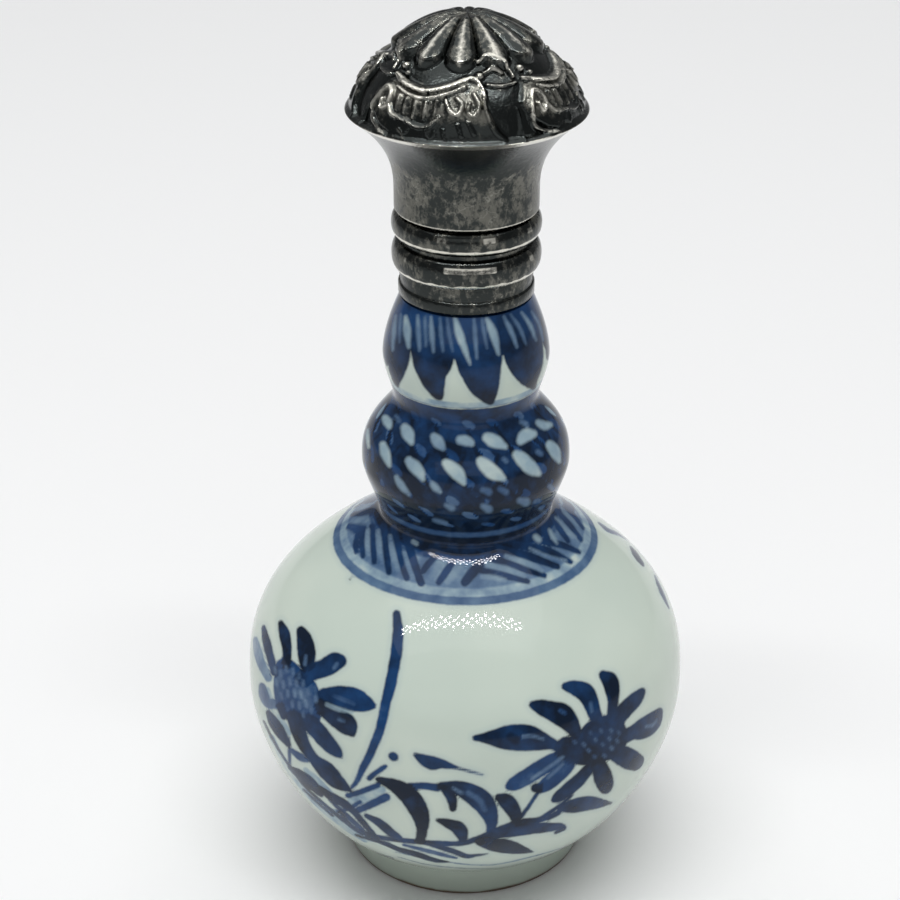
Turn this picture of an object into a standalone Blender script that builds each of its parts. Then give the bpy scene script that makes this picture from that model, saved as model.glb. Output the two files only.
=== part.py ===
"""Double gourd scent bottle: a hollow porcelain bottle, a silver neck collar and a domed silver cap.

Metres, +Z up. The origin is the middle of the foot, on the ground.
"""

import math

import bpy

COLLECTION_NAME = "double_gourd_scent_bottle"

# Porcelain, from the ground up
FOOT_RADIUS = 0.0134
FOOT_TOP_RADIUS = 0.0145
FOOT_HEIGHT = 0.0045
FOOT_EDGE = 0.0003
FOOT_RING_WIDTH = 0.0026
FOOT_RECESS = 0.0017
BELLY_JOIN_RADIUS = 0.0150
BELLY_RADIUS = 0.0239
BELLY_RISE = 0.0168
BELLY_SHOULDER = 0.0207
LOWER_WAIST_RADIUS = 0.0092
BULB_RADIUS = 0.0110
BULB_RISE = 0.0061
BULB_SHOULDER = 0.0074
UPPER_WAIST_RADIUS = 0.0076
CROWN_RADIUS = 0.00865
CROWN_RISE = 0.0047
CROWN_SHOULDER = 0.0065
CROWN_TOP_RADIUS = 0.0068
NECK_LEDGE = 0.0012
NECK_HEIGHT = 0.0070
WALL = 0.0021
FLOOR_THICKNESS = 0.0024

# How full and how soft each swelling of the porcelain is
BELLY_RISE_FORM = (1.75, 0.82)
BELLY_SHOULDER_FORM = (2.8, 1.35)
BULB_RISE_FORM = (1.5, 1.6)
BULB_SHOULDER_FORM = (2.7, 1.7)
CROWN_RISE_FORM = (1.8, 1.6)
CROWN_SHOULDER_FORM = (1.65, 1.05)

# Silver collar, its walls counted out from the sleeve round the neck
FIT_GAP = 0.0003
COLLAR_WALL = 0.0008
BAND_WALL = 0.00105
BAND_HEIGHT = 0.0012
THROAT_HEIGHT = 0.0015
RING_BULGE = 0.0009
LOWER_RING_HEIGHT = 0.0030
GROOVE_HEIGHT = 0.0005
UPPER_RING_HEIGHT = 0.0025
SPIGOT_WALL = 0.0005
SPIGOT_HEIGHT = 0.0042

# Silver cap, its wall counted out from the spigot
CUP_WALL = 0.0006
CUP_HEIGHT = 0.0020
CUP_EDGE = 0.0001
FLARE_HEIGHT = 0.0079
FLARE_REACH = 0.0042
FLARE_FORM = 2.4
BRIM_THICKNESS = 0.0004
BRIM_STEP = 0.0005
DOME_HEIGHT = 0.0097
DOME_FORM = (1.5, 0.57)
DOME_WALL = 0.0015

# Relief of the dome, cut down from its turned outline
LOBES = 12
LOBE_DEPTH = 0.00055
LOBE_PHASE = math.radians(-6.0)
PANELS = 4
PANEL_DEPTH = 0.0007
GAP_MIDDLE = math.radians(19.0)
GAP_HALF_WIDTH = math.radians(9.5)
PANEL_FOOT = 0.05
PANEL_TOP = 0.52
LOBE_START = 0.60
LOBE_FADE = 0.94
EDGE_SOFTNESS = 0.07

# Facets
BOTTLE_SIDES = 40
COLLAR_SIDES = 32
CAP_SIDES = 60
FINE_ROWS = 7
COARSE_ROWS = 4
DOME_ROWS = 12
RING_ROWS = 5

PORCELAIN_COLOUR = (0.60, 0.66, 0.64, 1.0)
SILVER_COLOUR = (0.22, 0.22, 0.21, 1.0)


def clear_scene():
    for thing in list(bpy.data.objects):
        bpy.data.objects.remove(thing, do_unlink=True)


def new_collection(name):
    collection = bpy.data.collections.new(name)
    bpy.context.scene.collection.children.link(collection)
    return collection


def surface(name, colour, metallic, roughness):
    material = bpy.data.materials.new(name)
    material.use_nodes = True
    shader = material.node_tree.nodes["Principled BSDF"]
    shader.inputs["Base Color"].default_value = colour
    shader.inputs["Metallic"].default_value = metallic
    shader.inputs["Roughness"].default_value = roughness
    material.diffuse_color = colour
    return material


def swelling(wide, narrow, form, rows):
    """Outline points (radius, height) from the widest ring to the narrowest, both included."""
    fullness, softness = form
    points = []
    for row in range(rows + 1):
        share = math.sin(0.5 * math.pi * row / rows)
        spread = max(0.0, 1.0 - share ** fullness) ** softness
        radius = narrow[0] + (wide[0] - narrow[0]) * spread
        points.append((radius, wide[1] + (narrow[1] - wide[1]) * share))
    return points


def gourd_outline(rows):
    """The outside of the three swellings, from the foot up to the neck."""
    belly_height = FOOT_HEIGHT + BELLY_RISE
    waist_height = belly_height + BELLY_SHOULDER
    bulb_height = waist_height + BULB_RISE
    upper_waist_height = bulb_height + BULB_SHOULDER
    crown_height = upper_waist_height + CROWN_RISE
    join = (BELLY_JOIN_RADIUS, FOOT_HEIGHT)
    belly = (BELLY_RADIUS, belly_height)
    lower_waist = (LOWER_WAIST_RADIUS, waist_height)
    bulb = (BULB_RADIUS, bulb_height)
    upper_waist = (UPPER_WAIST_RADIUS, upper_waist_height)
    crown = (CROWN_RADIUS, crown_height)
    crown_top = (CROWN_TOP_RADIUS, crown_height + CROWN_SHOULDER)
    outline = swelling(belly, join, BELLY_RISE_FORM, rows)[::-1]
    outline += swelling(belly, lower_waist, BELLY_SHOULDER_FORM, rows)[1:]
    outline += swelling(bulb, lower_waist, BULB_RISE_FORM, rows - 2)[-2::-1]
    outline += swelling(bulb, upper_waist, BULB_SHOULDER_FORM, rows - 2)[1:]
    outline += swelling(crown, upper_waist, CROWN_RISE_FORM, rows - 3)[-2::-1]
    outline += swelling(crown, crown_top, CROWN_SHOULDER_FORM, rows - 3)[1:]
    return outline


def offset_inward(outline, distance):
    """The outline moved towards the axis, square to itself, without turning back on itself."""
    moved = []
    for index in range(1, len(outline) - 1):
        run = outline[index + 1][0] - outline[index - 1][0]
        rise = outline[index + 1][1] - outline[index - 1][1]
        length = math.hypot(run, rise)
        radius = outline[index][0] - distance * rise / length
        height = outline[index][1] + distance * run / length
        if radius > 0.0 and (not moved or height > moved[-1][1]):
            moved.append((radius, height))
    return moved


def turned(name, outline, sides, material, collection):
    """A solid of revolution from an outline that runs down its outer side."""
    vertices = [(radius, 0.0, height) for radius, height in outline]
    edges = [(index, index + 1) for index in range(len(vertices) - 1)]
    mesh = bpy.data.meshes.new(name)
    mesh.from_pydata(vertices, edges, [])
    solid = bpy.data.objects.new(name, mesh)
    collection.objects.link(solid)
    screw = solid.modifiers.new("turn", "SCREW")
    screw.steps = sides
    screw.render_steps = sides
    screw.use_merge_vertices = True
    screw.merge_threshold = 0.00001
    screw.use_smooth_shade = True
    mesh.materials.append(material)
    return solid


def closed(outline):
    """The outline of a ring-shaped wall, brought back to its first point."""
    return outline + outline[:1]


def build_bottle(collection):
    """One hollow body: foot ring, belly, middle bulb, crown and neck."""
    outside = gourd_outline(FINE_ROWS)
    seat = outside[-1][1]
    neck_radius = CROWN_TOP_RADIUS - NECK_LEDGE
    neck_top = seat + NECK_HEIGHT
    floor_height = FOOT_RECESS + FLOOR_THICKNESS
    bore_radius = neck_radius - WALL
    cavity = []
    for radius, height in offset_inward(gourd_outline(COARSE_ROWS), WALL):
        if floor_height + WALL < height < seat:
            cavity.append((max(radius, bore_radius), height))
    ring_inside = FOOT_RADIUS - FOOT_RING_WIDTH
    profile = [(0.0, floor_height), (cavity[0][0] - WALL, floor_height)]
    profile += cavity
    profile += [(bore_radius, seat), (bore_radius, neck_top)]
    profile += [(neck_radius, neck_top), (neck_radius, seat)]
    profile += outside[::-1]
    profile += [(FOOT_TOP_RADIUS, FOOT_HEIGHT - FOOT_EDGE), (FOOT_RADIUS, FOOT_EDGE)]
    profile += [(FOOT_RADIUS - FOOT_EDGE, 0.0), (ring_inside + FOOT_EDGE, 0.0)]
    profile += [(ring_inside, FOOT_EDGE), (ring_inside - FOOT_EDGE, FOOT_RECESS), (0.0, FOOT_RECESS)]
    porcelain = surface("glazed_porcelain", PORCELAIN_COLOUR, 0.0, 0.12)
    turned("porcelain_bottle", profile, BOTTLE_SIDES, porcelain, collection)
    return seat, neck_radius


def half_round(root, low, high):
    """A rounded ring's outline from its upper root down to its lower root."""
    points = []
    for row in range(RING_ROWS + 1):
        angle = math.pi * row / RING_ROWS
        height = 0.5 * (high + low) + 0.5 * (high - low) * math.cos(angle)
        points.append((root + RING_BULGE * math.sin(angle), height))
    return points


def build_collar(collection, seat, neck_radius, silver):
    """A sleeve round the neck with a band, two rounded rings and a spigot for the cap."""
    bottom = seat + FIT_GAP
    band_top = bottom + BAND_HEIGHT
    throat_top = band_top + THROAT_HEIGHT
    lower_top = throat_top + LOWER_RING_HEIGHT
    groove_top = lower_top + GROOVE_HEIGHT
    shoulder = groove_top + UPPER_RING_HEIGHT
    spigot_top = shoulder + SPIGOT_HEIGHT
    sleeve_radius = neck_radius + FIT_GAP
    spigot_radius = sleeve_radius + SPIGOT_WALL
    throat_radius = sleeve_radius + COLLAR_WALL
    band_radius = sleeve_radius + BAND_WALL
    profile = [(sleeve_radius, spigot_top), (spigot_radius, spigot_top), (spigot_radius, shoulder)]
    profile += half_round(throat_radius, groove_top, shoulder)
    profile += half_round(throat_radius, throat_top, lower_top)
    profile += [(throat_radius, band_top), (band_radius, band_top)]
    profile += [(band_radius, bottom), (sleeve_radius, bottom)]
    turned("silver_collar", closed(profile), COLLAR_SIDES, silver, collection)
    return shoulder, spigot_radius


def step_up(value, low, high):
    """A soft step from 0 at low to 1 at high."""
    share = min(1.0, max(0.0, (value - low) / (high - low)))
    return share * share * (3.0 - 2.0 * share)


def relief_depth(angle, share):
    """How far the dome is cut in at an angle from the front and a share of its height."""
    turn = 2.0 * math.pi / PANELS
    from_gap = abs((angle - GAP_MIDDLE + 0.5 * turn) % turn - 0.5 * turn)
    beside = step_up(from_gap, GAP_HALF_WIDTH - EDGE_SOFTNESS, GAP_HALF_WIDTH + EDGE_SOFTNESS)
    wave = math.cos(2.0 * math.pi * (from_gap / turn))
    edge = PANEL_TOP + EDGE_SOFTNESS * wave
    below = 1.0 - step_up(share, edge - EDGE_SOFTNESS, edge + EDGE_SOFTNESS)
    above_foot = step_up(share, 0.0, PANEL_FOOT)
    panel = beside * below
    lobe_zone = step_up(share, LOBE_START - EDGE_SOFTNESS, LOBE_START + EDGE_SOFTNESS)
    ridge = abs(math.cos(0.5 * LOBES * (angle - LOBE_PHASE)))
    near_pole = step_up(share, LOBE_FADE, 1.0)
    lobes = LOBE_DEPTH * lobe_zone * (1.0 - near_pole) * (1.0 - ridge)
    field = PANEL_DEPTH * above_foot * (1.0 - panel) * (1.0 - lobe_zone)
    return field + lobes


def dome_radius(rise, foot_radius, height):
    """The turned dome's radius at a rise above its foot."""
    fullness, softness = DOME_FORM
    return foot_radius * (1.0 - min(1.0, rise / height) ** fullness) ** softness


def carve_dome(cap, foot_radius, foot_height):
    """Cut the lobes and the panels into the outside of the turned cap."""
    depsgraph = bpy.context.evaluated_depsgraph_get()
    mesh = bpy.data.meshes.new_from_object(cap.evaluated_get(depsgraph))
    half_wall = 0.5 * DOME_WALL
    for vertex in mesh.vertices:
        radius = math.hypot(vertex.co.x, vertex.co.y)
        rise = vertex.co.z - foot_height
        reach = math.hypot(radius, rise)
        mid_wall = dome_radius(max(0.0, rise), foot_radius - half_wall, DOME_HEIGHT - half_wall)
        if rise > 0.0 and radius > mid_wall:
            depth = relief_depth(math.atan2(vertex.co.x, -vertex.co.y), rise / DOME_HEIGHT)
            vertex.co.x -= depth * vertex.co.x / reach
            vertex.co.y -= depth * vertex.co.y / reach
            vertex.co.z -= depth * rise / reach
    cap.modifiers.clear()
    cap.data = mesh


def flare(base_radius, base_height, first, last):
    """Outline points of the cup's flare, from one row up or down to another."""
    points = []
    direction = 1 if last > first else -1
    for row in range(first, last + direction, direction):
        share = row / FINE_ROWS
        points.append((base_radius + FLARE_REACH * share ** FLARE_FORM, base_height + FLARE_HEIGHT * share))
    return points


def build_cap(collection, shoulder, spigot_radius, silver):
    """A hollow cup that flares to a thin brim and closes in a domed, carved top."""
    inner_radius = spigot_radius + FIT_GAP
    cup_radius = inner_radius + CUP_WALL
    foot_radius = cup_radius + FLARE_REACH + BRIM_STEP
    bottom = shoulder + FIT_GAP
    cup_top = bottom + CUP_HEIGHT
    foot_height = cup_top + FLARE_HEIGHT + BRIM_THICKNESS
    pole = (0.0, foot_height + DOME_HEIGHT)
    hollow_foot = (foot_radius - DOME_WALL, foot_height)
    hollow_pole = (0.0, foot_height + DOME_HEIGHT - DOME_WALL)
    profile = swelling((foot_radius, foot_height), pole, DOME_FORM, DOME_ROWS)[::-1]
    profile += flare(cup_radius, cup_top, FINE_ROWS, 0)
    profile += [(cup_radius, bottom + CUP_EDGE), (cup_radius - CUP_EDGE, bottom)]
    profile += [(inner_radius, bottom), (inner_radius, cup_top + CUP_WALL)]
    profile += flare(inner_radius, cup_top + CUP_WALL, 1, FINE_ROWS - 1)
    profile += swelling(hollow_foot, hollow_pole, DOME_FORM, COARSE_ROWS + 1)
    cap = turned("silver_cap", profile, CAP_SIDES, silver, collection)
    carve_dome(cap, foot_radius, foot_height)


def main():
    clear_scene()
    collection = new_collection(COLLECTION_NAME)
    seat, neck_radius = build_bottle(collection)
    plain_silver = surface("tarnished_silver", SILVER_COLOUR, 1.0, 0.38)
    shoulder, spigot_radius = build_collar(collection, seat, neck_radius, plain_silver)
    chased_silver = surface("tarnished_chased_silver", SILVER_COLOUR, 1.0, 0.32)
    build_cap(collection, shoulder, spigot_radius, chased_silver)


main()
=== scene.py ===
"""Looks of the double gourd scent bottle: painted porcelain, a turned silver collar and a chased silver cap.

Lengths are in millimetres until a mesh is made, which takes metres.
Azimuth 0 faces the camera and grows towards its right. Heights start at the ground.
"""

import math
import random

import bmesh
import bpy
import numpy as np
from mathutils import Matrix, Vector


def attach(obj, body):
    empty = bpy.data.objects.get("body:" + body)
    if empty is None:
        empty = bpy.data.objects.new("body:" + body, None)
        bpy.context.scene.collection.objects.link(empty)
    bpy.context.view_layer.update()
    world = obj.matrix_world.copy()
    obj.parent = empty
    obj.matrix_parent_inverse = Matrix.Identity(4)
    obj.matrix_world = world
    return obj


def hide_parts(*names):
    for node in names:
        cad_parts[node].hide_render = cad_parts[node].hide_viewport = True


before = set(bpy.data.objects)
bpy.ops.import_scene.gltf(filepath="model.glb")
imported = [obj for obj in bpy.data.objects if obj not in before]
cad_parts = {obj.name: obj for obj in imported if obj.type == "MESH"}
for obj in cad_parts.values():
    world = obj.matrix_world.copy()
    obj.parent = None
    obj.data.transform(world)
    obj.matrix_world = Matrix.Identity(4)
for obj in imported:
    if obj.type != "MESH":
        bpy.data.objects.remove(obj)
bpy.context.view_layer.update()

MM = 0.001

# Camera, matched to the ellipses of the rings and the foot
PICTURE_SIZE = 900
FOCAL_LENGTH = 86.4
SENSOR_WIDTH = 36.0
CAMERA_PITCH = math.radians(27.3)
CAMERA_DISTANCE = 228.8
AIM_HEIGHT = 48.45
AIM_SIDE = -1.66

# Porcelain outline, the same sizes as the solid
FOOT_RADIUS = 13.4
FOOT_TOP_RADIUS = 14.5
FOOT_HEIGHT = 4.5
FOOT_EDGE = 0.3
FOOT_RING_WIDTH = 2.6
FOOT_RECESS = 1.7
BELLY_JOIN_RADIUS = 15.0
BELLY_RADIUS = 23.9
BELLY_RISE = 16.8
BELLY_SHOULDER = 20.7
LOWER_WAIST_RADIUS = 9.2
BULB_RADIUS = 11.0
BULB_RISE = 6.1
BULB_SHOULDER = 7.4
UPPER_WAIST_RADIUS = 7.6
CROWN_RADIUS = 8.65
CROWN_RISE = 4.7
CROWN_SHOULDER = 6.5
CROWN_TOP_RADIUS = 6.8
NECK_LEDGE = 1.2
NECK_HEIGHT = 7.0
WALL = 2.1
FLOOR_THICKNESS = 2.4
BELLY_RISE_FORM = (1.75, 0.82)
BELLY_SHOULDER_FORM = (2.8, 1.35)
BULB_RISE_FORM = (1.5, 1.6)
BULB_SHOULDER_FORM = (2.7, 1.7)
CROWN_RISE_FORM = (1.8, 1.6)
CROWN_SHOULDER_FORM = (1.65, 1.05)

# Heights that follow from them
BELLY_Z = FOOT_HEIGHT + BELLY_RISE
LOWER_WAIST_Z = BELLY_Z + BELLY_SHOULDER
BULB_Z = LOWER_WAIST_Z + BULB_RISE
UPPER_WAIST_Z = BULB_Z + BULB_SHOULDER
CROWN_Z = UPPER_WAIST_Z + CROWN_RISE
SEAT_Z = CROWN_Z + CROWN_SHOULDER

# Silver collar
FIT_GAP = 0.3
COLLAR_WALL = 0.8
BAND_WALL = 1.05
BAND_HEIGHT = 1.2
THROAT_HEIGHT = 1.5
RING_BULGE = 0.9
LOWER_RING_HEIGHT = 3.0
GROOVE_HEIGHT = 0.5
UPPER_RING_HEIGHT = 2.5
SPIGOT_WALL = 0.5
SPIGOT_HEIGHT = 4.2

# Silver cap
CUP_WALL = 0.6
CUP_HEIGHT = 2.0
FLARE_HEIGHT = 7.9
FLARE_REACH = 4.2
FLARE_FORM = 2.4
BRIM_THICKNESS = 0.4
BRIM_STEP = 0.5
DOME_HEIGHT = 9.7
DOME_FORM = (1.5, 0.57)
DOME_WALL = 1.5

NECK_RADIUS = CROWN_TOP_RADIUS - NECK_LEDGE
SLEEVE_RADIUS = NECK_RADIUS + FIT_GAP
SPIGOT_RADIUS = SLEEVE_RADIUS + SPIGOT_WALL
COLLAR_FOOT_Z = SEAT_Z + FIT_GAP
BAND_TOP_Z = COLLAR_FOOT_Z + BAND_HEIGHT
LOWER_RING_Z = BAND_TOP_Z + THROAT_HEIGHT
GROOVE_Z = LOWER_RING_Z + LOWER_RING_HEIGHT
UPPER_RING_Z = GROOVE_Z + GROOVE_HEIGHT
SHOULDER_Z = UPPER_RING_Z + UPPER_RING_HEIGHT
CAP_FOOT_Z = SHOULDER_Z + FIT_GAP
CUP_INSIDE = SPIGOT_RADIUS + FIT_GAP
CUP_RADIUS = CUP_INSIDE + CUP_WALL
CUP_TOP_Z = CAP_FOOT_Z + CUP_HEIGHT
BRIM_Z = CUP_TOP_Z + FLARE_HEIGHT
DOME_RADIUS = CUP_RADIUS + FLARE_REACH + BRIM_STEP
DOME_Z = BRIM_Z + BRIM_THICKNESS

# Fineness of the meshes: steps round the axis in degrees, rows in millimetres, and columns round
FRONT_HALF = 97.0
BELLY_FRONT_STEP = 0.6
BELLY_BACK_STEP = 1.5
BELLY_ROW = 0.3
BULB_FRONT_STEP = 1.15
BULB_BACK_STEP = 3.0
BULB_ROW = 0.26
FOOT_ROW = 0.5
INSIDE_ROW = 1.6
DOME_ROW = 0.13
CUP_ROW = 0.15
INSIDE_COLUMNS = 48
FOOT_RING_COLUMNS = 96
FOOT_COLUMNS = 216
COLLAR_COLUMNS = 240
RING_ROWS = 40
DOME_COLUMNS = 480
CUP_COLUMNS = 240
CAP_INSIDE_COLUMNS = 60

# Brushwork: how far beyond a stroke its distance is kept, in millimetres, the share of the depth
# that counts, and the turn of the back's copies in degrees
FAR = 1.5
DEPTH_SHARE = 0.2
BACK = (180.0,)


def swelling(wide, narrow, form, count=200):
    """Outline points (radius, height) from the widest ring of a swelling to its narrowest."""
    fullness, softness = form
    share = np.sin(np.linspace(0.0, 0.5 * math.pi, count))
    spread = np.maximum(0.0, 1.0 - share ** fullness) ** softness
    radius = narrow[0] + (wide[0] - narrow[0]) * spread
    height = wide[1] + (narrow[1] - wide[1]) * share
    return np.column_stack((radius, height))


def gourd_sections():
    """The six stretches of the porcelain's outside, each from low to high."""
    join = (BELLY_JOIN_RADIUS, FOOT_HEIGHT)
    belly = (BELLY_RADIUS, BELLY_Z)
    lower_waist = (LOWER_WAIST_RADIUS, LOWER_WAIST_Z)
    bulb = (BULB_RADIUS, BULB_Z)
    upper_waist = (UPPER_WAIST_RADIUS, UPPER_WAIST_Z)
    crown = (CROWN_RADIUS, CROWN_Z)
    crown_top = (CROWN_TOP_RADIUS, SEAT_Z)
    return [
        swelling(belly, join, BELLY_RISE_FORM)[::-1],
        swelling(belly, lower_waist, BELLY_SHOULDER_FORM),
        swelling(bulb, lower_waist, BULB_RISE_FORM)[::-1],
        swelling(bulb, upper_waist, BULB_SHOULDER_FORM),
        swelling(crown, upper_waist, CROWN_RISE_FORM)[::-1],
        swelling(crown, crown_top, CROWN_SHOULDER_FORM),
    ]


def evenly(points, step):
    """The outline again, with points about a step apart along it and both ends kept."""
    points = np.asarray(points, float)
    lengths = np.r_[0.0, np.cumsum(np.linalg.norm(np.diff(points, axis=0), axis=1))]
    count = max(2, int(round(lengths[-1] / step)) + 1)
    places = np.linspace(0.0, lengths[-1], count)
    return np.column_stack([np.interp(places, lengths, points[:, axis]) for axis in range(2)])


def front_dense(front_step, back_step):
    """Azimuths in degrees round a ring, closer together where the camera sees them."""
    front = np.linspace(-FRONT_HALF, FRONT_HALF, int(2.0 * FRONT_HALF / front_step) + 1)
    back_width = 360.0 - 2.0 * FRONT_HALF
    back = np.linspace(FRONT_HALF, FRONT_HALF + back_width, int(back_width / back_step) + 1)[1:-1]
    return np.r_[front, back]


def all_round(count):
    """Evenly spaced azimuths in degrees."""
    return -180.0 + 360.0 * np.arange(count) / count


def place(azimuth, radius, height):
    """Points in space from azimuths in degrees, radii and heights."""
    turn = np.radians(azimuth)
    return np.column_stack((radius * np.sin(turn), -radius * np.cos(turn), height + 0.0 * turn))


def stitch(first, first_turns, second, second_turns):
    """Faces between two rings of vertices; the rings may have different counts."""
    count, other = len(first), len(second)
    if count == other:
        return [(first[i], first[(i + 1) % count], second[(i + 1) % count], second[i]) for i in range(count)]
    if other == 1:
        return [(first[i], first[(i + 1) % count], second[0]) for i in range(count)]
    if count == 1:
        return [(first[0], second[(i + 1) % other], second[i]) for i in range(other)]
    next_first = np.append(first_turns[1:], first_turns[0] + 360.0)
    next_second = np.append(second_turns[1:], second_turns[0] + 360.0)
    faces = []
    i = j = 0
    while i < count or j < other:
        if j == other or (i < count and next_first[i] <= next_second[j]):
            faces.append((first[i], first[(i + 1) % count], second[j % other]))
            i += 1
        else:
            faces.append((first[i % count], second[(j + 1) % other], second[j]))
            j += 1
    return faces


def turned(outline, columns):
    """Rings of a lathe from an outline's rows of radius and height."""
    return [(radius, height, columns) for radius, height in outline]


def lathe(rings):
    """A closed turned mesh from rings (radius, height, azimuths), and its points in millimetres.

    The last ring joins the first one, unless both lie on the axis.
    """
    points, indices, faces = [], [], []
    total = 0
    for radius, height, turns in rings:
        turns = turns if radius > 0.0 else np.zeros(1)
        points.append(place(turns, radius, height))
        indices.append((list(range(total, total + len(turns))), turns))
        total += len(turns)
    pairs = list(zip(indices[:-1], indices[1:]))
    if len(indices[0][0]) > 1:
        pairs.append((indices[-1], indices[0]))
    for (first, first_turns), (second, second_turns) in pairs:
        faces += stitch(first, first_turns, second, second_turns)
    return np.vstack(points), faces


def make_piece(name, points, faces, node, material):
    """A smooth closed piece that stands for a node of the model and takes its finish from a slot."""
    mesh = bpy.data.meshes.new(name)
    mesh.from_pydata((points * MM).tolist(), [], faces)
    work = bmesh.new()
    work.from_mesh(mesh)
    bmesh.ops.recalc_face_normals(work, faces=work.faces)
    work.to_mesh(mesh)
    work.free()
    mesh.shade_smooth()
    mesh.set_sharp_from_angle(angle=math.radians(50.0))
    mesh.materials.append(material)
    piece = bpy.data.objects.new(name, mesh)
    bpy.context.scene.collection.objects.link(piece)
    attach(piece, "root")
    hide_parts(node)
    return piece


def store(piece, name, values):
    """Keeps one number for each vertex, for the material to read."""
    layer = piece.data.attributes.new(name, "FLOAT", "POINT")
    layer.data.foreach_set("value", np.asarray(values, np.float32))


# The photograph's view, used to place the brushwork


def camera_frame():
    """The camera's place and its forward, right and up directions."""
    pitch_cos, pitch_sin = math.cos(CAMERA_PITCH), math.sin(CAMERA_PITCH)
    eye = np.array([AIM_SIDE, -CAMERA_DISTANCE * pitch_cos, AIM_HEIGHT + CAMERA_DISTANCE * pitch_sin])
    forward = np.array([0.0, pitch_cos, -pitch_sin])
    right = np.array([1.0, 0.0, 0.0])
    up = np.array([0.0, pitch_sin, pitch_cos])
    return eye, forward, right, up


GOURD = np.vstack(gourd_sections())


def outline_radius(height):
    """The porcelain's radius at each height, and 0 beyond its ends."""
    return np.interp(height, GOURD[:, 1], GOURD[:, 0], left=0.0, right=0.0)


def cast(pixels):
    """Where the sight lines through some pixels first meet the porcelain, as rows of x, y, z.

    A row is nan where the line misses.
    """
    eye, forward, right, up = camera_frame()
    focal = PICTURE_SIZE * FOCAL_LENGTH / SENSOR_WIDTH
    across = (pixels[:, 0] - 0.5 * PICTURE_SIZE) / focal
    down = (pixels[:, 1] - 0.5 * PICTURE_SIZE) / focal
    rays = forward + across[:, None] * right - down[:, None] * up
    reach = np.linspace(0.82 * CAMERA_DISTANCE, 1.15 * CAMERA_DISTANCE, 500)
    spots = eye + reach[None, :, None] * rays[:, None, :]
    inside = np.hypot(spots[..., 0], spots[..., 1]) < outline_radius(spots[..., 2])
    found = inside.any(axis=1)
    first = np.maximum(1, inside.argmax(axis=1))
    near, far = reach[first - 1], reach[first]
    for _ in range(16):
        middle = 0.5 * (near + far)
        spot = eye + middle[:, None] * rays
        within = np.hypot(spot[:, 0], spot[:, 1]) < outline_radius(spot[:, 2])
        far = np.where(within, middle, far)
        near = np.where(within, near, middle)
    result = eye + far[:, None] * rays
    result[~found] = np.nan
    return result


def smooth_path(points, step):
    """A smooth line through some points, each a row of numbers, sampled about a step apart."""
    points = np.asarray(points, float)
    if len(points) == 1:
        return points
    ends = np.vstack((2.0 * points[0] - points[1], points, 2.0 * points[-1] - points[-2]))
    rows = []
    for index in range(1, len(ends) - 2):
        before, start, stop, after = ends[index - 1:index + 3]
        count = max(2, int(np.linalg.norm(stop[:2] - start[:2]) / step))
        t = np.linspace(0.0, 1.0, count, endpoint=False)[:, None]
        rows.append(0.5 * (2.0 * start + (stop - before) * t
                           + (2.0 * before - 5.0 * start + 4.0 * stop - after) * t ** 2
                           + (3.0 * start - before - 3.0 * stop + after) * t ** 3))
    rows.append(points[-1:])
    path = np.vstack(rows)
    path[:, -1] = np.maximum(path[:, -1], 0.0)
    return path


def seen_stroke(points):
    """A brush stroke given in the picture, as rows of x, y, z and half width on the porcelain."""
    path = smooth_path(points, 1.2)
    middle = cast(path[:, :2])
    eye, forward = camera_frame()[:2]
    pixel = (middle - eye) @ forward * SENSOR_WIDTH / (FOCAL_LENGTH * PICTURE_SIZE)
    stroke = np.column_stack((middle, path[:, 2] * pixel))
    return stroke[~np.isnan(middle).any(axis=1)]


def round_stroke(points):
    """A brush stroke given by azimuth, height and half width, as rows of x, y, z and half width."""
    path = smooth_path(points, 0.5)
    return np.column_stack((place(path[:, 0], outline_radius(path[:, 1]), path[:, 1]), path[:, 2]))


def turned_back(points, angle):
    """Points carried back from a copy's place, turned by an angle in degrees, to the first stroke's place."""
    turn = math.radians(angle)
    x = points[:, 0] * math.cos(turn) + points[:, 1] * math.sin(turn)
    y = points[:, 1] * math.cos(turn) - points[:, 0] * math.sin(turn)
    return np.column_stack((x, y, points[:, 2]))


def as_seen(points):
    """Points along the picture's right and up directions, with their depth counted only in part.

    Brush marks keep the width that the picture shows, also where the surface turns away.
    """
    _, forward, right, up = camera_frame()
    return np.column_stack((points @ right, points @ up, DEPTH_SHARE * (points @ forward)))


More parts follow.
